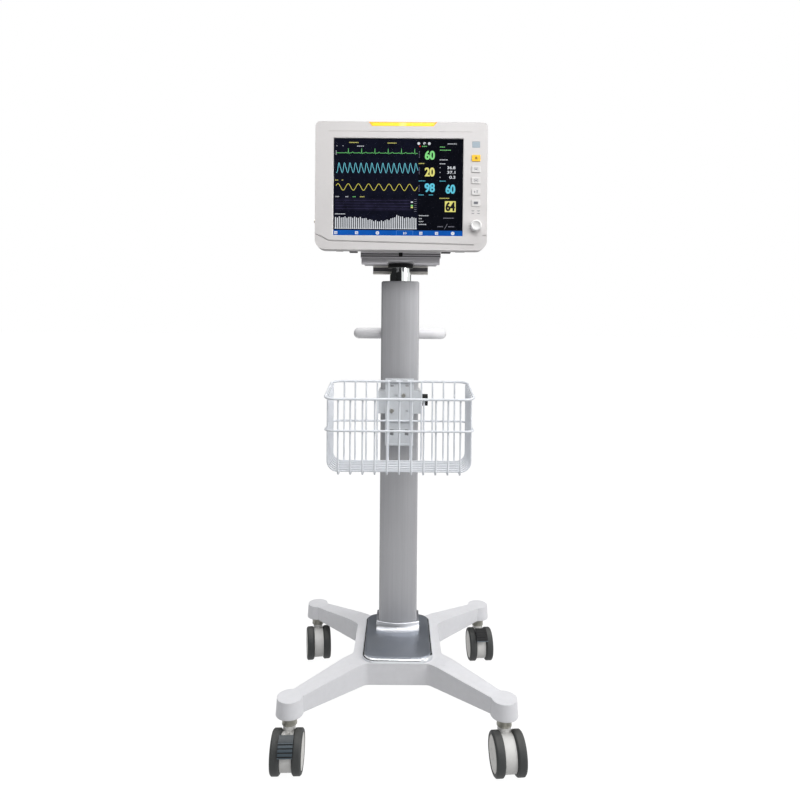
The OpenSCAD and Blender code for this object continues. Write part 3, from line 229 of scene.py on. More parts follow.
# What each look is called in the file, its colour, roughness, metal, spread of tone, grain,
# relief in thousandths of a millimetre, wear and dust, and then what only some of them have.
LOOK_TABLE = (
    ("powder_coat", "powder_coat_white", (232, 232, 235), 0.42, 0, 0.05, 1100, 60, 0.2, 0.1,
     {"eased_by": 0.002}),
    ("cover_metal", "cover_blue_grey_metal", (154, 160, 170), 0.3, 0.75, 0.05, 1800, 20, 0.35, 0.12,
     {"bare": tint(190, 192, 196)}),
    ("rim_chrome", "rim_satin_chrome", (214, 216, 220), 0.2, 1, 0.04, 900, 10, 0, 0.05),
    ("collar_chrome", "collar_satin_chrome", (206, 208, 213), 0.4, 1, 0.04, 900, 10, 0, 0),
    ("steel", "zinc_plated_steel", (176, 174, 168), 0.35, 1, 0.1, 1500, 30, 0.4, 0.12),
    ("brushed_aluminium", "column_brushed_aluminium", (176, 176, 179), 0.42, 0.25, 0.08, 1400, 30, 0.2, 0,
     {"stretch": (1, 1, 0.012)}),
    ("head_aluminium", "head_drawn_aluminium", (190, 188, 192), 0.38, 0.6, 0.34, 1400, 40, 0.5, 0.12,
     {"stretch": (0.012, 1, 1), "bare": tint(212, 212, 214)}),
    # painted shade: a dark copy of the drawn aluminium, laid in the rail's channel and the slide plate's
    # grooves where shade falls
    ("painted_shade_metal", "painted_shade_aluminium", (92, 91, 94), 0.5, 0.5, 0.2, 1400, 30, 0, 0.12,
     {"stretch": (0.012, 1, 1)}),
    # painted highlight: a lighter copy of the slide's drawn aluminium, for the top and bottom bands of
    # its front
    ("slide_painted_highlight", "slide_painted_highlight_aluminium", (226, 224, 227), 0.35, 0.3, 0.1, 1400, 30, 0.2, 0.12,
     {"stretch": (0.012, 1, 1)}),
    ("slide_aluminium", "slide_drawn_aluminium", (196, 194, 198), 0.34, 0.7, 0.1, 1400, 30, 0.4, 0.12,
     {"stretch": (0.012, 1, 1), "bare": tint(222, 222, 224)}),
    ("rail_aluminium", "rail_drawn_aluminium", (226, 223, 216), 0.3, 0.5, 0.14, 1400, 30, 0.4, 0.12,
     {"stretch": (0.012, 1, 1), "bare": tint(226, 224, 218)}),
    ("cap_metal", "cap_grey_metal", (168, 169, 172), 0.4, 0.4, 0.06, 1400, 30, 0.3, 0.12),
    ("black_plastic", "black_nylon", (14, 14, 15), 0.55, 0, 0.15, 1400, 30, 0.2, 0.04,
     {"Specular_IOR_Level": 0.25}),
    ("chrome", "post_chrome", (226, 230, 228), 0.07, 1, 0.02, 500, 4, 0, 0),
    ("grey_paint", "handle_pale_enamel", (238, 237, 239), 0.33, 0, 0.05, 1000, 40, 0.2, 0.12),
    ("white_coat", "wire_white_coat", (228, 231, 236), 0.35, 0, 0.05, 900, 60, 0.15, 0.15,
     {"radius": 0.0004}),
    ("bracket_paint", "bracket_pale_paint", (214, 217, 220), 0.4, 0, 0.05, 1200, 50, 0.35, 0.12),
    ("housing_plastic", "caster_housing_plastic", (226, 225, 222), 0.45, 0, 0.05, 1400, 30, 0.15, 0.08),
    ("neck_metal", "caster_neck_metal", (172, 170, 160), 0.42, 0.3, 0.05, 1400, 30, 0.4, 0.12),
    ("wheel_plastic", "wheel_disc_plastic", (214, 212, 207), 0.42, 0, 0.05, 1400, 30, 0.2, 0.1),
    ("tyre", "tyre_grey_rubber", (58, 60, 60), 0.62, 0, 0.14, 2200, 80, 0.35, 0.1,
     {"radius": 0.0012, "bare": tint(92, 93, 92)}),
    ("pedal_plastic", "pedal_slate_plastic", (38, 48, 55), 0.4, 0, 0.1, 1400, 30, 0.9, 0.1,
     {"bare": tint(112, 124, 132)}),
    # a lighter slate for the tops of the pedal's ribs
    ("pedal_rib", "pedal_lighter_rib_tops", (70, 82, 90), 0.4, 0, 0.1, 1400, 30, 0.3, 0.1),
    ("bezel_plastic", "case_warm_white_plastic", (214, 211, 210), 0.42, 0, 0.025, 2600, 30, 0.12, 0.08),
    ("groove", "case_grey_groove", (186, 183, 183), 0.5, 0, 0.04, 2600, 30, 0, 0),
    ("rubber", "dark_rubber", (52, 52, 54), 0.7, 0, 0.12, 1800, 60, 0.2, 0.12),
    ("ecg_plastic", "socket_green_plastic", (52, 132, 84), 0.4, 0, 0.05, 1400, 30, 0.15, 0.05),
    ("pulse_plastic", "socket_blue_plastic", (58, 104, 160), 0.4, 0, 0.05, 1400, 30, 0.15, 0.05),
    ("warm_plastic", "socket_tan_plastic", (186, 150, 112), 0.42, 0, 0.05, 1400, 30, 0.15, 0.05),
    ("nickel", "nickel_plate", (198, 194, 184), 0.22, 1, 0.05, 1400, 30, 0.2, 0.12),
    ("brass", "earth_brass", (206, 172, 96), 0.28, 1, 0.08, 1400, 30, 0.3, 0.12),
    ("board", "circuit_board_lacquer", (28, 84, 52), 0.35, 0, 0.25, 500, 30, 0.2, 0.1),
    ("psu_metal", "supply_pressed_steel", (182, 184, 184), 0.36, 0.9, 0.08, 1400, 30, 0.3, 0.12,
     {"stretch": (0.03, 1, 1)}),
    ("battery", "battery_shrink_wrap", (58, 92, 150), 0.32, 0, 0.08, 1400, 30, 0.1, 0.12,
     {"Coat_Weight": 0.3}),
    ("pump", "pump_dark_metal", (96, 96, 98), 0.45, 0.6, 0.1, 1400, 30, 0.3, 0.12),
    ("yellow_key", "alarm_key_yellow_rubber", (252, 200, 28), 0.45, 0, 0.04, 1400, 30, 0.15, 0.12,
     {"bare": tint(255, 224, 110)}),
    ("white_key", "key_white_rubber", (220, 218, 217), 0.5, 0, 0.03, 1400, 30, 0.12, 0.12),
    ("knob_plastic", "knob_white_plastic", (230, 229, 228), 0.3, 0, 0.02, 1400, 30, 0.12, 0.05),
    ("icon_grey", "key_icon_grey_ink", (110, 112, 118), 0.6, 0, 0.05, 1400, 30, 0, 0),
    ("icon_brown", "key_icon_brown_ink", (150, 110, 20), 0.6, 0, 0.05, 1400, 30, 0, 0),
    ("clear_window", "clear_window_film", (12, 12, 16), 0.12, 0, 0.05, 1400, 2, 0, 0,
     {"Alpha": 0.06, "Specular_IOR_Level": 0.2}),
    ("sensor", "sensor_smoked_window", (176, 190, 200), 0.2, 0, 0.04, 1400, 30, 0, 0.05),
    # painted shade: a near-black for hollows, such as those between the pedal's ribs
    ("hollow", "shadowed_hollow", (22, 22, 23), 0.8, 0, 0.05, 1400, 30, 0, 0),
)


def make_looks():
    made = {}
    for key, name, colour, rough, metal, spread, grain, relief, worn, dust, *more in LOOK_TABLE:
        made[key] = finish(name, tint(*colour), rough, metal, spread, grain, relief * 1e-6, worn,
                           dust=dust, **(more[0] if more else {}))
    return made


LOOKS = make_looks()


def lit(name, colour, flicker=0.06):
    """A lit part of the display, with the slight unevenness of its backlight."""
    look = finish(name, tint(8, 8, 10), 0.6, worn=0.0, dust=0.0, Specular_IOR_Level=0.0)
    t = Tree(look.node_tree)
    uneven = t.noise(t.add("TexCoord").outputs["Object"], 55.0, 3.0, 0.6)
    dark = [level * (1 - flicker) for level in colour[:3]] + [1.0]
    light = [min(1.0, level * (1 + flicker)) for level in colour[:3]] + [1.0]
    shown = t.mix(t.spread(uneven, 0.3, 0.7, 0, 1), dark, light)
    t.fill(t.shader, Emission_Color=shown, Emission_Strength=1.0)
    return look


# ---- modelling ----

def ends(node):
    """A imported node's lowest and highest corner, in millimetres."""
    low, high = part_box(node)
    return low / MM, high / MM


def pivot(name):
    """A joint's axis, and its place in millimetres."""
    return Vector(joints[name]["axis"]).normalized(), Vector(joints[name]["pos_m"]) / MM


def place(name, data):
    """Puts a new object in the scene."""
    made = bpy.data.objects.new(name, data)
    collection.objects.link(made)
    return made


def mesh_of(name, bm):
    """Closes a bmesh into a mesh."""
    mesh = bpy.data.meshes.new(name)
    bm.to_mesh(mesh)
    bm.free()
    return mesh


def take_shape(bm, holder):
    """Adds to a bmesh the shape that a scratch object shows, and clears the object away."""
    graph = bpy.context.evaluated_depsgraph_get()
    mesh = bpy.data.meshes.new_from_object(holder.evaluated_get(graph))
    bm.from_mesh(mesh)
    bpy.data.objects.remove(holder)
    bpy.data.meshes.remove(mesh)


def piece(name, bm, body, look, replaces=(), crease=30.0, outward=True, even=False):
    """Closes a bmesh in millimetres into an object in metres that rides on a body."""
    ops.remove_doubles(bm, verts=bm.verts, dist=0.002)
    if outward:
        ops.holes_fill(bm, edges=[edge for edge in bm.edges if edge.is_boundary])
        ops.recalc_face_normals(bm, faces=bm.faces)
    ops.scale(bm, vec=(MM, MM, MM), verts=bm.verts)
    mesh = mesh_of(name, bm)
    mesh.shade_smooth()
    mesh.set_sharp_from_angle(angle=math.radians(crease))
    mesh.materials.append(LOOKS[look] if isinstance(look, str) else look)
    made = place(name, mesh)
    if even:
        flat = made.modifiers.new("even_faces", "WEIGHTED_NORMAL")
        flat.keep_sharp = True
    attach(made, body)
    if replaces:
        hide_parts(*replaces)
    return made


def copy_of(node):
    """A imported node's shape with its triangles joined again, in millimetres."""
    bm = bmesh.new()
    bm.from_mesh(nodes[node].data)
    ops.scale(bm, vec=(1 / MM,) * 3, verts=bm.verts)
    ops.remove_doubles(bm, verts=bm.verts, dist=0.003)
    ops.dissolve_limit(bm, angle_limit=math.radians(0.6), verts=bm.verts, edges=bm.edges)
    return bm


def soften(bm, width, segments=2, angle=30.0, chosen=None):
    """Rounds the sharp edges of a bmesh."""
    sharp = [edge for edge in bm.edges
             if edge.is_manifold and edge.calc_face_angle(0) > math.radians(angle)
             and (chosen is None or chosen((edge.verts[0].co + edge.verts[1].co) / 2))]
    ops.bevel(bm, geom=sharp, offset=width, offset_type="OFFSET", segments=segments,
                    profile=0.5, affect="EDGES", clamp_overlap=True, material=-1)


def eased(node, name, body, look, width, segments=2, angle=30.0, chosen=None):
    """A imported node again, with its edges rounded as the real piece's are."""
    bm = copy_of(node)
    soften(bm, width, segments, angle, chosen)
    return piece(name, bm, body, look, (node,), even=True)


def lathe(bm, profile, at=(0, 0, 0), along=X, steps=48, closed=False):
    """Turns a profile of (distance along the axis, radius) points round an axis."""
    at, along = Vector(at), Vector(along).normalized()
    side = (Z if abs(along.z) < 0.9 else X).cross(along).normalized()
    points = [bm.verts.new(at + along * far + side * radius) for far, radius in profile]
    pairs = list(zip(points, points[1:])) + ([(points[-1], points[0])] if closed else [])
    lines = [bm.edges.new(pair) for pair in pairs]
    ops.spin(bm, geom=points + lines, cent=at, axis=along, angle=math.tau, steps=steps,
                   use_merge=True, use_duplicate=False)


def sheet(bm, width, depth):
    """A flat rectangle round the origin, which faces up."""
    made = ops.create_grid(bm, x_segments=1, y_segments=1, size=0.5)["verts"]
    ops.scale(bm, vec=(width, depth, 1), verts=made)
    return made


def plate(bm, width, depth, radius, at, turn=Matrix.Identity(3), steps=5):
    """A flat face with round corners, which faces up unless it's turned; returns the face."""
    before = set(bm.verts)
    corners = sheet(bm, width, depth)
    for side in (1, -1):
        chosen = [vert for vert in corners if vert.is_valid and vert.co.y * side > 0]
        ops.bevel(bm, geom=chosen, offset=radius, offset_type="ABSOLUTE", segments=steps,
                        profile=0.5, affect="VERTICES", material=-1)
    made = [vert for vert in bm.verts if vert not in before]
    ops.transform(bm, matrix=Matrix.Translation(at) @ turn.to_4x4(), verts=made)
    bm.normal_update()
    return made[0].link_faces[0]


def rings(bm, face, steps):
    """Raises a face in steps of (inward, along its normal), a ring of faces for each."""
    for inward, up in steps:
        ops.inset_region(bm, faces=[face], use_boundary=True, use_even_offset=True,
                               thickness=inward, depth=up)
    return face


def block(bm, low, high):
    """A box between two corners."""
    low, high = Vector(low), Vector(high)
    made = ops.create_cube(bm, size=1.0)["verts"]
    ops.scale(bm, vec=high - low, verts=made)
    ops.translate(bm, vec=(low + high) / 2, verts=made)
    return made


def fillet(points, radii, closed=False, steps=6):
    """A route with its corners rounded."""
    count = len(points)
    points = [Vector(point) for point in points]
    route = []
    for index, corner in enumerate(points):
        radius = radii[index] if isinstance(radii, (list, tuple)) else radii
        if not closed and index in (0, count - 1) or not radius:
            route.append(corner)
            continue
        back = (points[index - 1] - corner).normalized()
        ahead = (points[(index + 1) % count] - corner).normalized()
        half = back.angle(ahead) / 2
        centre = corner + (back + ahead).normalized() * radius / math.sin(half)
        first = corner + back * radius / math.tan(half) - centre
        last = corner + ahead * radius / math.tan(half) - centre
        for step in range(steps + 1):
            route.append(centre + first.slerp(last, step / steps))
    return route


def tube(bm, route, radius, closed=False, smooth=2):
    """Adds a round bar along a route."""
    curve = bpy.data.curves.new("route", "CURVE")
    curve.dimensions = "3D"
    curve.bevel_depth = radius
    curve.bevel_resolution = smooth
    curve.use_fill_caps = True
    line = curve.splines.new("POLY")
    line.points.add(len(route) - 1)
    for point, spot in zip(line.points, route):
        point.co = (*spot, 1)
    line.use_cyclic_u = closed
    take_shape(bm, place("route", curve))


def repaint(look, *names):
    """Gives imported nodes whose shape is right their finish."""
    for name in names:
        nodes[name].data.materials.clear()
        nodes[name].data.materials.append(LOOKS[look])


def repaint_faces(made, look, chosen):
    """Gives the faces whose middle, in millimetres, is chosen a look of their own."""
    made.data.materials.append(LOOKS[look])
    for face in made.data.polygons:
        if chosen(face.center / MM, face.normal):
            face.material_index = len(made.data.materials) - 1


def patch(bm, left, right, low, high, y):
    """A flat rectangle that faces the viewer."""
    made = sheet(bm, right - left, high - low)
    ops.rotate(bm, matrix=UPRIGHT, verts=made)
    ops.translate(bm, vec=((left + right) / 2, y, (low + high) / 2), verts=made)


def carve(bm, cutter):
    """Cuts one closed bmesh out of another."""
    holders = []
    for source in (bm, cutter):
        ops.remove_doubles(source, verts=source.verts, dist=0.002)
        ops.recalc_face_normals(source, faces=source.faces)
        mesh = bpy.data.meshes.new("carving")
        source.to_mesh(mesh)
        holders.append(place("carving", mesh))
    cut = holders[0].modifiers.new("cut", "BOOLEAN")
    cut.operation = "DIFFERENCE"
    cut.solver = "MANIFOLD"
    cut.object = holders[1]
    bm.clear()
    take_shape(bm, holders[0])
    bpy.data.objects.remove(holders[1])
    cutter.free()


def keep_above(bm, at, normal):
    """Keeps what lies on the normal's side of a plane, and closes the cut."""
    ops.bisect_plane(bm, geom=bm.verts[:] + bm.edges[:] + bm.faces[:], plane_co=at,
                           plane_no=normal, clear_inner=True)
    ops.holes_fill(bm, edges=[edge for edge in bm.edges if edge.is_boundary])


# ---- base ----

cover_low, cover_high = ends("base_cover")
cover_y = (cover_low.y + cover_high.y) / 2
RIM_HEIGHT, RIM_OUT, PLATE_HEIGHT, PLATE_CORNER = 9, 5, 2, 28

repaint("powder_coat", "base_frame")


def make_base_cover():
    """The bright rim, the dark plate inside it and the bright collar round the column's foot."""
    hub_top = cover_low.z
    width, depth = cover_high.x - cover_low.x, cover_high.y - cover_low.y
    bm = bmesh.new()
    face = plate(bm, width, depth, PLATE_CORNER + RIM_OUT, (0, cover_y, hub_top), steps=12)
    rings(bm, face, [(0, 3.6), (0.35, 1.7), (0.9, 1.5), (1.3, 1.1), (1.4, 0.7), (1.4, 0.3),
                     (0.6, -0.4)])
    piece("bright_rim", bm, "root", "rim_chrome", ("base_cover",))
    bm = bmesh.new()
    face = plate(bm, width - 2 * RIM_OUT - 1, depth - 2 * RIM_OUT - 1, PLATE_CORNER,
                 (0, cover_y, hub_top + RIM_HEIGHT - 3), steps=12)
    rings(bm, face, [(0, 3.6), (0.5, 0.8), (1.0, 0.35), (3.0, 0.25)])
    piece("dark_plate", bm, "root", "cover_metal", ("base_cover",))
    bm = copy_of("base_cover")
    keep_above(bm, (0, 0, hub_top + RIM_HEIGHT + PLATE_HEIGHT + 0.02), Z)
    soften(bm, 0.8, 2, 40)
    piece("collar", bm, "root", "collar_chrome", ("base_cover",), crease=50)


make_base_cover()

# ---- casters ----

tyre_low, tyre_high = ends("tyres_fl")
disc_low, disc_high = ends("wheels_fl")
WHEEL_R = (tyre_high.z - tyre_low.z) / 2
HUB_R = (disc_high.z - disc_low.z) / 2
TREAD_W, HOUSING_HALF = 19.4, 12.6
NECK_R, STEM_R = 16, 6.05
NECK_FOOT = 84
CORNERS = ("fl", "fr", "rl", "rr")


def at_axle(corner, bm):
    """Moves what is modelled round the X axis at the origin to a caster's own axle."""
    axis, spot = pivot("wheel_spin_" + corner)
    turn = Matrix.Rotation(math.atan2(axis.y, axis.x), 4, "Z")
    ops.transform(bm, matrix=Matrix.Translation(spot) @ turn, verts=bm.verts)


def make_wheels(corner):
    """Both tyres and both disc covers of one caster."""
    tyres, discs = bmesh.new(), bmesh.new()
    w, r, h = TREAD_W, WHEEL_R, HUB_R
    tread = [(0, h + 0.2), (0, r - 3.6), (0.3, r - 2.9), (2.4, r - 0.7), (3.2, r - 0.15),
             (4.2, r), (w / 2, r), (w - 4.2, r), (w - 3.2, r - 0.15), (w - 2.4, r - 0.7),
             (w - 0.3, r - 2.9), (w, r - 3.6), (w, h + 1.4), (w - 0.6, h + 0.6),
             (w - 1.6, h + 0.2)]
    disc = [(0.6, 4.6), (0.6, 11), (2.4, 13), (2.4, h - 6), (0.8, h - 3.5), (0.8, h),
            (w - 1.8, h), (w - 1.0, h - 0.5), (w - 0.6, h - 1.6), (w - 0.55, h - 3.4),
            (w - 0.9, h - 3.9), (w - 0.5, h - 4.5), (w - 0.15, h - 12), (w, h * 0.5),
            (w, 10.6), (w - 0.6, 10.1), (w - 0.6, 9.3), (w, 8.8), (w, 4), (w, 0)]
    for side in (1, -1):
        shift = Vector((side * HOUSING_HALF, 0, 0))
        lathe(tyres, tread, shift, X * side, 72, closed=True)
        lathe(discs, disc, shift, X * side, 56)
    at_axle(corner, tyres)
    at_axle(corner, discs)
    body = "wheels_" + corner
    piece("tyre_pair_" + corner, tyres, body, "tyre", ("tyres_" + corner,))
    piece("disc_pair_" + corner, discs, body, "wheel_plastic",
          ("wheels_" + corner,))


def make_housing(corner):
    """The moulded housing between the wheels, and the turned neck over it."""
    body, node = "swivel_" + corner, "housing_" + corner
    bm = copy_of(node)
    keep_above(bm, (0, 0, NECK_FOOT + 0.6), -Z)
    soften(bm, 0.9, 2, 35)
    piece("caster_housing_" + corner, bm, body, "housing_plastic", (node,),
          even=True)
    spot = pivot("swivel_" + corner)[1]
    low, high = NECK_FOOT, ends(node)[1].z
    bm = bmesh.new()
    lathe(bm, [(low, STEM_R), (low, NECK_R - 0.6), (low + 0.6, NECK_R), (low + 2.4, NECK_R),
               (low + 2.8, NECK_R - 0.4), (high - 3.2, NECK_R - 0.4), (high - 2.8, NECK_R),
               (high - 0.6, NECK_R), (high, NECK_R - 0.6), (high, STEM_R)],
          (spot.x, spot.y, 0), Z, 48, closed=True)
    piece("caster_neck_" + corner, bm, body, "neck_metal", (node,))


for corner in CORNERS:
    make_wheels(corner)
    make_housing(corner)
    repaint("steel", "axle_" + corner)


def make_pedal(corner):
    """A ribbed brake pedal; the lug that carries it has the housing's pale colour, the rib tops are
    lighter, and the hollows between the ribs carry painted shade.
    """
    node = "pedal_" + corner
    made = eased(node, "brake_pedal_cap_" + corner, node, "pedal_plastic", 0.4,
                 2, 35)
    axle, spot = pivot("wheel_spin_" + corner)

    def reach(at):
        out = at - spot
        return (out - axle * out.dot(axle)).length

    far = max(reach(vert.co / MM) for vert in made.data.vertices)
    repaint_faces(made, "housing_plastic", lambda at, normal: reach(at) < WHEEL_R + 0.4)
    # the rib tops below the plain upper part get the lighter slate
    repaint_faces(made, "pedal_rib", lambda at, normal: reach(at) > far - 0.3
                  and at.z < spot.z + 0.77 * far)
    # painted shade: the outward faces deep between the ribs are near black
    repaint_faces(made, "hollow", lambda at, normal: WHEEL_R + 1.5 < reach(at) < far - 0.3
                  and normal.dot((at - spot).normalized()) > 0.4)


for corner in ("fl", "rr"):
    make_pedal(corner)

# ---- column, handle, basket ----

repaint("steel", "caster_stems", "column_screws", "monitor_screws")
repaint("brushed_aluminium", "column")
repaint("chrome", "post")
repaint("grey_paint", "push_handle")
repaint("white_coat", "basket_hoops", "basket_long_wires", "basket_cross_wires")
repaint("black_plastic", "post_bush", "clamp_knob", "release_button", "power_inlet")
for node, name, slot, look, width in (
        ("column_cap", "column_top_cap", "black_plastic", "cap_metal", 0.8),
        ("handle_clamp", "handle_clamp_block", "grey_paint", "bracket_paint", 1.2),
        ("basket_bracket", "bracket_plate", "white_coat", "bracket_paint", 0.7),
        ("basket_clamp", "column_clamp", "white_coat", "bracket_paint", 0.9)):
    eased(node, name, "root", look, width, 2, 35)

# ---- head ----

rail_low, rail_high = ends("head_rail")
plate_low, plate_high = ends("slide_plate")
RAIL_CHANNEL, RAIL_DEPTH = 10, 3


def make_rail():
    """The accessory rail, with the channel in its front face; the channel carries painted shade."""
    middle = (rail_low.z + rail_high.z) / 2
    bm = copy_of("head_rail")
    channel = bmesh.new()
    block(channel, (rail_low.x - 1, rail_low.y - 1, middle - RAIL_CHANNEL / 2),
          (rail_high.x + 1, rail_low.y + RAIL_DEPTH, middle + RAIL_CHANNEL / 2))
    carve(bm, channel)
    soften(bm, 0.8, 2, 60)
    made = piece("rear_rail_section", bm, "head", "rail_aluminium",
                 ("head_rail",), even=True)
    # painted shade: the channel's floor and walls get the dark aluminium look
    repaint_faces(made, "painted_shade_metal", lambda at, normal: abs(at.z - middle) < RAIL_CHANNEL / 2
                  and at.y < rail_low.y + RAIL_DEPTH + 0.2)


def make_slide_plate():
    """The plate under the case: drawn bands, with painted shade in the grooves between them and painted
    highlights on the top and bottom bands.
    """
    made = eased("slide_plate", "slide_plate_section", "head",
                 "slide_aluminium", 0.3, 1, 35)
    front = plate_low.y
    height = plate_high.z - plate_low.z
    # painted shade: the front-facing floors of the grooves get the dark aluminium look
    repaint_faces(made, "painted_shade_metal", lambda at, normal: front + 0.4 < at.y < front + 2
                  and normal.y < -0.5 and at.z < plate_high.z - 1)
    # painted highlight: the front's top and bottom bands get the lighter copy of the aluminium
    repaint_faces(made, "slide_painted_highlight", lambda at, normal: at.y < front + 0.4
                  and (at.z > plate_low.z + height * 0.72 or at.z < plate_low.z + height * 0.2))


eased("head_block", "head_block_section", "head", "head_aluminium", 0.9, 1, 35)
make_rail()
make_slide_plate()

# ---- monitor ----

face_low, face_high = ends("front_bezel")
face_y = face_low.y
face_mid = (face_low.z + face_high.z) / 2
window_low, window_high = ends("screen_window")
PANEL_LAP = 4
screen_left, screen_right = window_low.x + PANEL_LAP, window_high.x - PANEL_LAP
screen_low, screen_top = window_low.z + PANEL_LAP, window_high.z - PANEL_LAP
picture_y = window_high.y - 0.15


def face_line(points, radius, y):
    """A bar that lies along the face; its points are X and the height above the face's middle."""
    route = fillet([(x, y, face_mid + rise) for x, rise in points], 6, steps=5)
    bm = bmesh.new()
    tube(bm, route, radius, smooth=2)
    return bm


ACCENT = [(-207, -113), (-187, -113), (-172, -134), (171, -137)]
SHORT_ACCENT = [(191, -115), (207, -115)]
STEP_LINE = [(-170, 127), (0, 127), (165, 127)]
SENSOR_X, SENSOR_RISE = 175, 98
FACE_SIDE, ACCENT_END = 198, 200


def make_bezel():
    """The face: soft outer edges, a sloped lip round the screen, and its seams and accents."""
    bm = copy_of("front_bezel")
    soften(bm, 3.0, 4, 35, lambda at: abs(at.x) > FACE_SIDE or at.z > face_high.z - 3
           or at.z < face_low.z + 3)
    lip = (screen_left - 2, screen_right + 2, screen_low - 2, screen_top + 2)
    soften(bm, 1.8, 2, 35, lambda at: at.y < face_y + 0.5 and lip[0] < at.x < lip[1]
           and lip[2] < at.z < lip[3])
    carve(bm, face_line(ACCENT, 1.7, face_y + 0.5))
    carve(bm, face_line(SHORT_ACCENT, 1.5, face_y + 0.5))
    carve(bm, face_line(STEP_LINE, 0.7, face_y + 0.2))
    pocket = bmesh.new()
    block(pocket, (SENSOR_X - 9.3, face_y - 1, face_mid + SENSOR_RISE - 7.3),
          (SENSOR_X + 9.3, face_y + 1.2, face_mid + SENSOR_RISE + 7.3))
    carve(bm, pocket)
    piece("bezel", bm, "head", "bezel_plastic", ("front_bezel",), even=True)
    for name, route in (("accent_strip", ACCENT), ("accent_end", SHORT_ACCENT)):
        inner = [(max(-ACCENT_END, min(ACCENT_END, x)), rise) for x, rise in route]
        bm = face_line(inner, 1.0, face_y + 1.6)
        piece(name, bm, "head", "groove", ("front_bezel",))


def make_sensor():
    """The small light sensor's smoked window, with its ribs."""
    bm = bmesh.new()
    face = plate(bm, 18, 14, 1.2, (SENSOR_X, face_y + 1.1, face_mid + SENSOR_RISE), UPRIGHT, 4)
    rings(bm, face, [(0, 0.5), (0.3, 0.3)])
    for step in range(4):
        rise = face_mid + SENSOR_RISE - 4.5 + 3 * step
        block(bm, (SENSOR_X - 7, face_y + 0.1, rise - 0.5), (SENSOR_X + 7, face_y + 0.4, rise + 0.5))
    piece("sensor_window", bm, "head", "sensor", ("front_bezel",))


make_bezel()
make_sensor()
eased("rear_cover", "case_back", "head", "bezel_plastic", 2.0, 2, 20,
      chosen=lambda at: at.y < 97 and abs(at.x) > 150)

# ---- display ----

# Each ink's colour, and how much its brightness wavers where that isn't the usual amount.
INK_TABLE = {
    "green": (140, 232, 140), "dim_green": (118, 212, 124), "cyan": (104, 208, 232),
    "dim_cyan": (122, 214, 232), "yellow": (238, 232, 132), "dim_yellow": (222, 214, 96),
    "white": (232, 236, 242), "grey": (142, 142, 154), "violet": (50, 46, 72, 0.5),
    "dark_violet": (30, 28, 46, 0.5), "red": (236, 48, 40), "blue": (18, 90, 182, 0.12),
    "pale_blue": (92, 146, 226), "ink": (24, 24, 30), "ground": (15, 17, 31, 0.35),
    "right_ground": (8, 10, 18, 0.25),
}
INKS = {name: lit("picture_" + name, tint(*row[:3]), *row[3:]) for name, row in INK_TABLE.items()}


class Picture:
    """The display's picture, laid out in millimetres right of and below its top left corner."""

    def __init__(self):
        self.inks = {}

    def ink(self, colour):
        if colour not in self.inks:
            self.inks[colour] = bmesh.new()
        return self.inks[colour]

    def bar(self, colour, left, right, top, low, lift=0.0):
        patch(self.ink(colour), screen_left + left, screen_left + right, screen_top - low,
              screen_top - top, picture_y - lift)

    def trace(self, colour, points, thickness=0.45):
        route = [(screen_left + x, picture_y - 0.35, screen_top - y) for x, y in points]
        tube(self.ink(colour), route, thickness, smooth=0)

    def dot(self, colour, x, y, radius):
        bm = self.ink(colour)
        made = ops.create_circle(bm, cap_ends=True, segments=20, radius=radius)["verts"]
        ops.rotate(bm, matrix=UPRIGHT, verts=made)
        spot = (screen_left + x, picture_y - 0.3, screen_top - y)
        ops.translate(bm, vec=spot, verts=made)

    def label(self, colour, left, right, middle, height=2.6):
        """A short row of strokes that stands for a label too small to read."""
        stroke = 0.62 * height
        count = max(1, int((right - left) / stroke))
        for index in range(count):
            x = left + (index + 0.2) * (right - left) / count
            wide = 0.36 * stroke if index % 3 else 0.62 * stroke
            tall = height * (0.5 if index % 2 else 0.36)
            self.bar(colour, x, x + wide, middle - tall, middle + height * 0.5, 0.2)
            if index % 4 != 3:
                self.bar(colour, x, x + stroke * 0.8, middle - 0.12 * height,
                         middle + 0.12 * height, 0.2)

    def number(self, colour, text, left, right, top, low, weight=0.02, bold=0.0):
        """Figures fitted to a frame; bold sets a second row just beside, for thick uprights."""
        letters = bpy.data.curves.new("figures", "FONT")
        letters.body = text
        letters.offset = weight
        letters.fill_mode = "FRONT"
        bm = self.ink(colour)
        before = set(bm.verts)
        take_shape(bm, place("figures", letters))
        made = [vert for vert in bm.verts if vert not in before]
        far = [[pick(vert.co[axis] for vert in made) for axis in (0, 1)] for pick in (min, max)]
        wide, tall = far[1][0] - far[0][0], far[1][1] - far[0][1]
        ops.translate(bm, vec=(-far[0][0], -far[0][1], 0), verts=made)
        ops.scale(bm, vec=((right - left) / wide, (low - top) / tall, 1), verts=made)
        ops.rotate(bm, matrix=UPRIGHT, verts=made)
        spot = (screen_left + left, picture_y - 0.4, screen_top - low)
        ops.translate(bm, vec=spot, verts=made)
        if bold:
            faces = list({face for vert in made for face in vert.link_faces})
            again = ops.duplicate(bm, geom=made + faces)["geom"]
            beside = [item for item in again if isinstance(item, bmesh.types.BMVert)]
            ops.translate(bm, vec=(bold, -0.01, 0), verts=beside)

    def finish(self):
        for colour, bm in self.inks.items():
            piece("picture_" + colour, bm, "head", INKS[colour], outward=False)


HEARTBEATS, HEARTBEAT, BREATHS, BREATH = 6, 31.2, 15, 12.9
TRACE_LEFT, TRACE_RIGHT = 6, 197
FIRST_BEAT, HEART_LEVEL, WAVE_LEVEL, WAVE_LENGTH = 34.3, 34, 114, 24
BARS, BAR_PITCH, BAR_WIDTH = 43, 4.5, 2.2
FIGURES_LEFT = 199


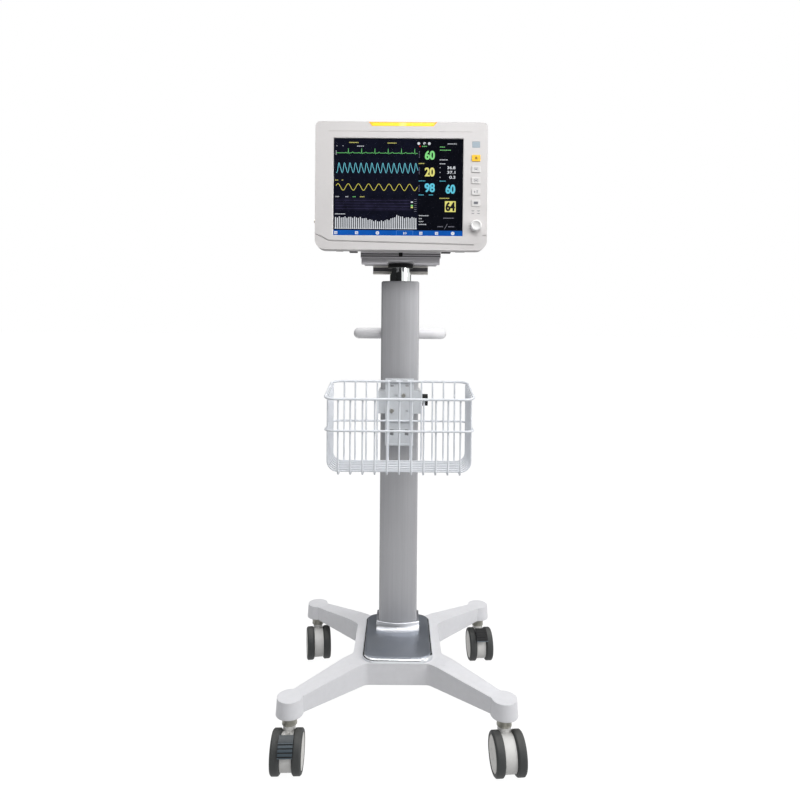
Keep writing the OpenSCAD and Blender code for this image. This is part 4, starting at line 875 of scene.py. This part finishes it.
def heart_trace():
    """Flat line, small wave, sharp spike, dip and rounded wave, beat after beat."""
    points = [(TRACE_LEFT, HEART_LEVEL)]
    for beat in range(HEARTBEATS):
        x = FIRST_BEAT + beat * HEARTBEAT
        for away, drop in ((-8, 0), (-6.5, -1.6), (-5, 0), (-2.4, 0), (-1.6, 1), (0, -11.5),
                           (1.2, 2.6), (2.4, 0), (7, 0), (10, -2.4), (12.5, 0)):
            if x + away < TRACE_RIGHT:
                points.append((x + away, HEART_LEVEL + drop))
    return points + [(TRACE_RIGHT, HEART_LEVEL)]


def breath_trace():
    """A fast rise and a slower fall with a notch, like a pulse wave."""
    points = []
    for beat in range(BREATHS):
        x = TRACE_LEFT + beat * BREATH
        for away, y in ((0, 79), (1.6, 81), (3.2, 76), (5.2, 60), (6.2, 57), (7.6, 59), (9.2, 68),
                        (10.2, 68.6), (11.6, 74)):
            points.append((x + away, y))
    return points


def wave_trace():
    """A slow, even wave."""
    span = TRACE_RIGHT - TRACE_LEFT
    across = [TRACE_LEFT + span * step / 160 for step in range(161)]
    return [(x, WAVE_LEVEL + 7.6 * math.cos(math.tau * (x - 22.5) / WAVE_LENGTH)) for x in across]


def draw_traces(show):
    show.trace("dim_green", heart_trace(), 0.6)
    for beat in range(HEARTBEATS):
        x = FIRST_BEAT + beat * HEARTBEAT
        if x < TRACE_RIGHT:
            show.bar("dim_green", x - 0.55, x + 0.55, 23.5, 34.4, 0.3)
    show.trace("dim_cyan", breath_trace(), 0.65)
    show.trace("dim_yellow", wave_trace(), 0.65)
    show.trace("white", [(5.5, 28), (5.5, 39)], 0.4)
    for row in range(9):
        y = 141 + row * 3.3
        show.bar("violet" if row % 2 else "dark_violet", 4, 184, y, y + 1.5, 0.05)
    for index in range(BARS):
        x = 4 + index * BAR_PITCH
        swell = 9 * math.exp(-((x - 106) / 30) ** 2) - 6 * math.exp(-((x - 150) / 9) ** 2)
        top = 185 + swell + 1.6 * math.sin(index * 2.3)
        show.bar("white", x, x + BAR_WIDTH, top, 211, 0.1)
        show.bar("white", x - 0.6, x + 2.9, 209.8 + (index % 3) * 0.5, 212, 0.1)


def draw_figures(show):
    show.number("green", "60", 214, 236.5, 27.4, 48.5, bold=1.1)
    show.number("yellow", "20", 214, 236.5, 67, 88, bold=1.1)
    show.number("cyan", "98", 214, 237, 104, 125, bold=1.1)
    show.number("cyan", "60", 263.5, 285, 106.5, 128, bold=1.1)
    show.bar("yellow", 262, 287.5, 145.5, 171, 0.1)
    show.number("ink", "64", 263.6, 285, 147.6, 169, 0.03, bold=1.2)
    for text, y in (("36.8", 67), ("37.1", 78), ("0.3", 89.5)):
        left = 267 if len(text) > 3 else 272
        show.number("white", text, left, 286, y - 3.4, y + 3.4)
        show.label("white", 249, 252, y)
    for y in (36, 74.5, 115.5):
        show.bar("violet", 200.2, 202.6, y - 8, y + 8, 0.05)
        for step in range(5):
            show.bar("grey", 200.2, 202, y - 7 + 3.5 * step, y - 6.2 + 3.5 * step, 0.1)


LABELS = (
    ("yellow", 36, 58, 9.3), ("yellow", 126, 147, 10), ("white", 267, 289, 11),
    ("green", 249, 261, 18.4), ("green", 249, 275, 25.8), ("green", 207, 219, 17.3),
    ("white", 6, 9, 17.3), ("white", 20.5, 23.5, 17.3), ("white", 54.5, 71, 17.8),
    ("yellow", 3.5, 11, 97.8), ("yellow", 19, 23, 97.8), ("white", 4.5, 13.5, 136.7),
    ("white", 28, 35, 136.7), ("green", 45, 52.5, 136.7), ("yellow", 62, 73, 136.7),
    ("white", 3.5, 28, 177.3), ("yellow", 199.5, 213.5, 57.5), ("cyan", 200, 216, 98.4),
    ("cyan", 200, 212, 131.2), ("cyan", 224, 234, 131.2), ("cyan", 249, 264, 98.4),
    ("white", 249, 268, 48.5), ("white", 249, 263, 57.8), ("yellow", 249, 272.5, 138.9),
    ("white", 201, 224, 180), ("white", 201, 208, 187), ("white", 201, 212, 193.7),
    ("white", 201, 219, 200.6), ("grey", 258.5, 283.5, 185.5), ("grey", 245, 258.5, 205.5),
    ("grey", 270, 285, 205.5),
)


def draw_labels(show):
    for colour, left, right, middle in LABELS:
        show.label(colour, left, right, middle)
    for x in (199.6, 213.4, 224.3):
        show.dot("white", x, 10.7, 3.2)
    show.bar("ink", 212.6, 216, 10, 14, 0.5)
    show.dot("ink", 224.3, 10.7, 1.3)
    show.dot("red", 202.4, 17.3, 1.5)
    show.trace("grey", [(261.4, 211.5), (268.3, 199.2)], 0.4)
    for colour, y in (("white", 148.5), ("green", 156.7), ("yellow", 160.8)):
        show.bar(colour, 182, 187, y - 1.6, y + 1.6, 0.2)
    for step in range(7):
        show.bar("grey", 190, 195.5, 142 + 4.6 * step, 142.8 + 4.6 * step, 0.1)


BAR_TOP, BAR_LOW = 215, 228
ICON_PLACES = (6, 55, 104, 169, 206, 243, 281)


def draw_bar(show):
    show.bar("blue", 0, screen_right - screen_left, BAR_TOP, BAR_LOW, 0.05)
    middle = (BAR_TOP + BAR_LOW) / 2
    for edge in (148, 187):
        show.bar("pale_blue", edge, edge + 0.7, BAR_TOP + 0.5, BAR_LOW, 0.1)
    show.bar("pale_blue", 148, 187, BAR_TOP + 0.4, BAR_TOP + 1.1, 0.1)
    for index, x in enumerate(ICON_PLACES):
        if index in (2, 6):
            show.dot("white", x, middle, 4.2)
            show.dot("blue", x, middle, 1.4 if index == 2 else 0.6)
        elif index == 3:
            show.label("white", x - 5, x + 5, middle, 6)
        else:
            show.bar("white", x - 3.6, x + 3.6, middle - 3.4, middle + 3.4, 0.15)
            show.bar("blue", x - 2.2, x + 2.6, middle - 1.2, middle - 0.3, 0.25)
            show.bar("blue", x - 0.6, x + 2.8, middle + 1.0, middle + 2.0, 0.25)


def make_display():
    """The picture on the panel's front, the panel behind it and the clear window before it."""
    show = Picture()
    width, height = screen_right - screen_left, screen_top - screen_low
    show.bar("ground", 0, FIGURES_LEFT, 0, height, -0.05)
    show.bar("right_ground", FIGURES_LEFT, width, 0, height, -0.05)
    draw_traces(show)
    draw_figures(show)
    draw_labels(show)
    draw_bar(show)
    show.finish()
    eased("display_panel", "display_module", "head", "psu_metal", 0.6, 2, 35)
    bm = bmesh.new()
    across, up = window_high.x - window_low.x, window_high.z - window_low.z
    middle = ((window_low.x + window_high.x) / 2, window_low.y + 1, (window_low.z + window_high.z) / 2)
    face = plate(bm, across, up, 2, middle, UPRIGHT, 4)
    rings(bm, face, [(0, 0.7), (0.3, 0.3)])
    piece("clear_window", bm, "head", "clear_window", ("screen_window",))


make_display()

# ---- controls and connections ----

ICONS = {
    "alarm_key": ((-3.6, 3.6, -3.2, -2.2), (-2.4, 2.4, -2.2, 2.2), (-1.2, 1.2, 2.2, 3.2),
                  (3.6, 4.6, -1.5, 1.5)),
    "key_1": ((-4.6, 4.6, 2.6, 3.4), (-4.6, -3.8, -3.2, 2.6), (3.8, 4.6, -3.2, 2.6),
              (-1.8, 1.8, -1.6, 1.2)),
    "key_2": ((-4.6, 4.6, 2.8, 3.6), (-4.6, 4.6, -3.6, -2.8), (-4.6, -3.8, -2.8, 2.8),
              (3.8, 4.6, -2.8, 2.8), (-2.4, 2.4, -0.9, 0.9)),
    "key_3": ((-5, -1.2, -0.6, 0.6), (-3.7, -2.5, -2.6, 2.6), (1, 4.8, 2.0, 3.0),
              (2.2, 3.4, -3.2, 2.0)),
    "key_4": ((-5, 5, -3, 3),),
}


def make_key(node):
    """A key with soft edges and its printed sign, which is a plain one."""
    look = "yellow_key" if node == "alarm_key" else "white_key"
    low, high = ends(node)
    bm = copy_of(node)
    soften(bm, 0.8, 3, 35, lambda at: at.y < low.y + 1)
    front = [vert for vert in bm.verts if vert.co.y < low.y + 0.05]
    ops.translate(bm, vec=(0, 0.06, 0), verts=front)
    piece(node + "_cap", bm, node, look, (node,), even=True)
    bm = bmesh.new()
    x, z = (low.x + high.x) / 2, (low.z + high.z) / 2
    for left, right, bottom, top in ICONS[node]:
        patch(bm, x + left, x + right, z + bottom, z + top, low.y + 0.02)
    piece(node + "_sign", bm, node, "icon_brown" if node == "alarm_key" else "icon_grey",
          (node,), outward=False)


for node in ICONS:
    make_key(node)


KNOB_STEPS = 96


def make_knob():
    """The rotary knob: a gripped skirt and a dished face."""
    joint = pivot("knob_turn")[1]
    low, high = ends("knob")
    radius = (high.x - low.x) / 2
    proud = face_y - low.y
    bm = bmesh.new()
    profile = [(0.3, 3), (0.3, radius - 0.8), (0.9, radius - 0.1), (1.8, radius),
               (proud - 3.2, radius - 0.5), (proud - 1.4, radius - 1.0), (proud - 0.3, radius - 2.2),
               (proud, radius - 3.2), (proud - 0.1, radius - 4.0), (proud - 1.0, radius - 4.8),
               (proud - 1.7, radius - 6.6), (proud - 2.0, 3.5), (proud - 2.0, 0)]
    lathe(bm, profile, (joint.x, face_y, joint.z), -Y, KNOB_STEPS)
    for vert in bm.verts:
        out = Vector((vert.co.x - joint.x, 0, vert.co.z - joint.z))
        turn = round(math.atan2(out.z, out.x) / (math.tau / KNOB_STEPS))
        if out.length > radius - 0.7 and turn % 4 == 0:
            vert.co -= out * 0.03
    lathe(bm, [(high.y - face_y, 0), (high.y - face_y, 2.7), (high.y - face_y - 0.3, 3),
               (-0.3, 3)], (joint.x, face_y, joint.z), Y, 32)
    piece("knob_cap", bm, "knob", "knob_plastic", ("knob",), crease=35)


make_knob()


def make_marks():
    """The four small printed marks between the keys and the knob."""
    bm = bmesh.new()
    x = (ends("key_1")[0].x + ends("key_1")[1].x) / 2
    for away in (-6.5, 6.5):
        for rise in (-57, -63):
            patch(bm, x + away - 3.4, x + away + 3.4, face_mid + rise - 0.5,
                  face_mid + rise + 0.5, face_y - 0.02)
            patch(bm, x + away - 1.6, x + away + 2.2, face_mid + rise - 1.4,
                  face_mid + rise - 0.8, face_y - 0.02)
    piece("face_marks", bm, "head", "icon_grey", ("front_bezel",), outward=False)


make_marks()


def lens_look():
    """The alarm lens: lit yellow, orange along its top edge and toward its ends."""
    low, high = ends("alarm_lens")
    look = finish("alarm_lens_glow", tint(250, 196, 40), 0.25, worn=0.0, dust=0.0, spread=0.03)
    t = Tree(look.node_tree)
    where = t.add("SeparateXYZ")
    t.feed(where.inputs[0], t.add("TexCoord").outputs["Object"])
    middle, half = (low.x + high.x) / 2 * MM, (high.x - low.x) / 2 * MM
    away = t.sum("ABSOLUTE", t.sum("SUBTRACT", where.outputs["X"], middle))
    toward_end = t.spread(away, half * 0.86, half, 0.0, 1.0)
    toward_top = t.spread(where.outputs["Z"], (high.z - 4) * MM, (high.z - 0.6) * MM, 0.0, 1.0)
    edge = t.sum("MAXIMUM", toward_end, toward_top)
    spot = t.spread(t.sum("ABSOLUTE", t.sum("SUBTRACT", away, half * 0.02)), 0.0, half * 0.12,
                    1.0, 0.0)
    glow = t.mix(spot, tint(255, 214, 36), tint(255, 232, 120))
    shown = t.mix(edge, glow, tint(240, 142, 48))
    t.fill(t.shader, Base_Color=shown, Emission_Color=shown, Emission_Strength=0.35)
    return look


eased("alarm_lens", "alarm_light_lens", "head", lens_look(), 0.9, 3, 35)

# Each socket's name, radius, bore, pins and look, and its height above the face's middle.
SOCKETS = (("ecg", 12, 8, 5, "ecg_plastic", 52), ("pulse", 11, 7, 5, "pulse_plastic", 16),
           ("temperature_1", 8, 4.5, 2, "warm_plastic", -14),
           ("temperature_2", 8, 4.5, 2, "warm_plastic", -38))


def make_sockets():
    """Four round sockets, each a body with a bore, a key rib, a contact block and pins."""
    low, high = ends("sensor_sockets")
    middle_y = (low.y + high.y) / 2
    for name, radius, bore, pins, look, rise in SOCKETS:
        z = face_mid + rise
        bm = bmesh.new()
        lathe(bm, [(0, bore + 0.8), (0.8, bore), (14, bore), (14, 0)], (low.x, middle_y, z), X, 40)
        lathe(bm, [(0, bore + 0.8), (0, radius - 1), (1, radius), (2.6, radius), (2.6, bore + 1.4),
                   (high.x - low.x, bore + 1.4), (high.x - low.x, 0)], (low.x, middle_y, z), X, 40)
        piece("socket_" + name, bm, "head", look, ("sensor_sockets",),
              crease=35)
        bm = bmesh.new()
        lathe(bm, [(5, 0), (5, bore - 2.2), (5.6, bore - 1.6), (14, bore - 1.6)],
              (low.x, middle_y, z), X, 32)
        block(bm, (low.x + 3, middle_y - 1, z + bore - 1.8), (low.x + 14, middle_y + 1, z + bore))
        piece("socket_core_" + name, bm, "head", "black_plastic",
              ("sensor_sockets",))
        bm = bmesh.new()
        for pin in range(pins):
            turn = math.tau * pin / pins
            reach = (bore - 1.6) * 0.55
            spot = (low.x, middle_y + reach * math.cos(turn), z + reach * math.sin(turn))
            lathe(bm, [(3.2, 0), (3.5, 0.45), (5.4, 0.5)], spot, X, 12)
        piece("socket_pins_" + name, bm, "head", "brass", ("sensor_sockets",))


make_sockets()
repaint("rubber", "rubber_feet")
repaint("nickel", "pressure_port")
repaint("brass", "earth_stud")
repaint("board", "main_board", "key_board")
repaint("psu_metal", "power_supply")
repaint("battery", "battery_pack")
repaint("pump", "pressure_pump")

# ---- studio ----

PHOTO, FOCAL_PIXELS, FILM_WIDTH = 800, 619.1, 36
CAMERA_AT = (0.0, -1.5108, 0.9107)
SHIFT, DIP, LEAN = -0.08, 0.2, 0.46


def make_camera():
    lens = bpy.data.cameras.new("photo_camera")
    lens.sensor_width = FILM_WIDTH
    lens.lens = FOCAL_PIXELS / PHOTO * FILM_WIDTH
    lens.shift_y = SHIFT
    made = place("photo_camera", lens)
    made.location = CAMERA_AT
    made.rotation_euler = (math.radians(90 - DIP), math.radians(-LEAN), 0)
    bpy.context.scene.camera = made


def soft_lamp(name, at, target, size, watts, spread=180):
    lamp = bpy.data.lights.new(name, "AREA")
    lamp.shape = "RECTANGLE"
    lamp.size, lamp.size_y = size
    lamp.energy = watts
    lamp.spread = math.radians(spread)
    made = place(name, lamp)
    made.location = at
    made.rotation_euler = (Vector(target) - Vector(at)).to_track_quat("-Z", "Y").to_euler()


def dark_flag(name, at, facing, size):
    """A dark board out of view, which only shows in polished and satin metal."""
    bm = bmesh.new()
    sheet(bm, *size)
    turn = Vector(facing).to_track_quat("Z", "Y").to_matrix().to_4x4()
    ops.transform(bm, matrix=Matrix.Translation(at) @ turn, verts=bm.verts)
    look, t = new_look(name)
    t.fill(t.shader, Base_Color=(0.01, 0.01, 0.012, 1), Roughness=1.0)
    made = place(name, mesh_of(name, bm))
    made.data.materials.append(look)
    for way in ("camera", "diffuse", "shadow", "transmission", "volume_scatter"):
        setattr(made, "visible_" + way, False)


def make_world():
    """White behind the object and in its reflections; a plainer, softer light on it."""
    world = bpy.data.worlds.new("studio")
    world.use_nodes = True
    t = Tree(world.node_tree)
    t.clear()
    path = t.add("LightPath").outputs
    seen = t.sum("MAXIMUM", t.sum("MAXIMUM", path["Is Camera Ray"], path["Is Glossy Ray"]),
                 path["Is Transmission Ray"])
    light, white = t.add("Background"), t.add("Background")
    t.fill(light, Color=(0.97, 0.98, 1.0, 1), Strength=0.4)
    t.fill(white, Color=(1, 1, 1, 1), Strength=1.0)
    both = t.add("MixShader")
    t.feed(both.inputs[0], seen)
    t.feed(both.inputs[1], light.outputs[0])
    t.feed(both.inputs[2], white.outputs[0])
    t.feed(t.add("OutputWorld").inputs[0], both.outputs[0])
    bpy.context.scene.world = world


def make_floor():
    """A plain pale floor: white to the camera where it is lit, with the object's soft shadow."""
    bm = bmesh.new()
    sheet(bm, 600, 600)
    look, t = new_look("pale_floor")
    t.clear()
    matt, white, both = t.add("BsdfDiffuse"), t.add("Emission"), t.add("MixShader")
    t.fill(matt, Color=(0.45, 0.45, 0.45, 1))
    t.fill(white, Strength=1.22)
    path = t.add("LightPath").outputs
    seen = t.sum("MAXIMUM", path["Is Camera Ray"], path["Is Glossy Ray"])
    t.feed(both.inputs[0], t.sum("MULTIPLY", seen, 0.8))
    t.feed(both.inputs[1], matt.outputs[0])
    t.feed(both.inputs[2], white.outputs[0])
    t.feed(t.add("OutputMaterial").inputs[0], both.outputs[0])
    floor = place("studio_floor", mesh_of("studio_floor", bm))
    floor.data.materials.append(look)


make_camera()
make_world()
make_floor()
dark_flag("front_flag", (-1.0, -2.6, 1.3), (0, 1, 0), (3.2, 2.0))
dark_flag("left_flag", (-2.6, 0.0, 1.3), (1, 0, 0), (5.2, 2.0))
dark_flag("back_flag", (0, 2.6, 1.3), (0, -1, 0), (5.2, 2.0))
soft_lamp("key_lamp", (2.8, -1.4, 2.1), (0, 0, 0.7), (1.6, 1.6), 54)
soft_lamp("face_lamp", (0.3, -1.9, 2.5), (0, 0, 1.2), (0.8, 0.6), 2.0, spread=50)
soft_lamp("top_lamp", (0, 0, 3.4), (0, 0, 0), (2.4, 2.4), 56)
bpy.context.scene.view_settings.view_transform = "Standard"
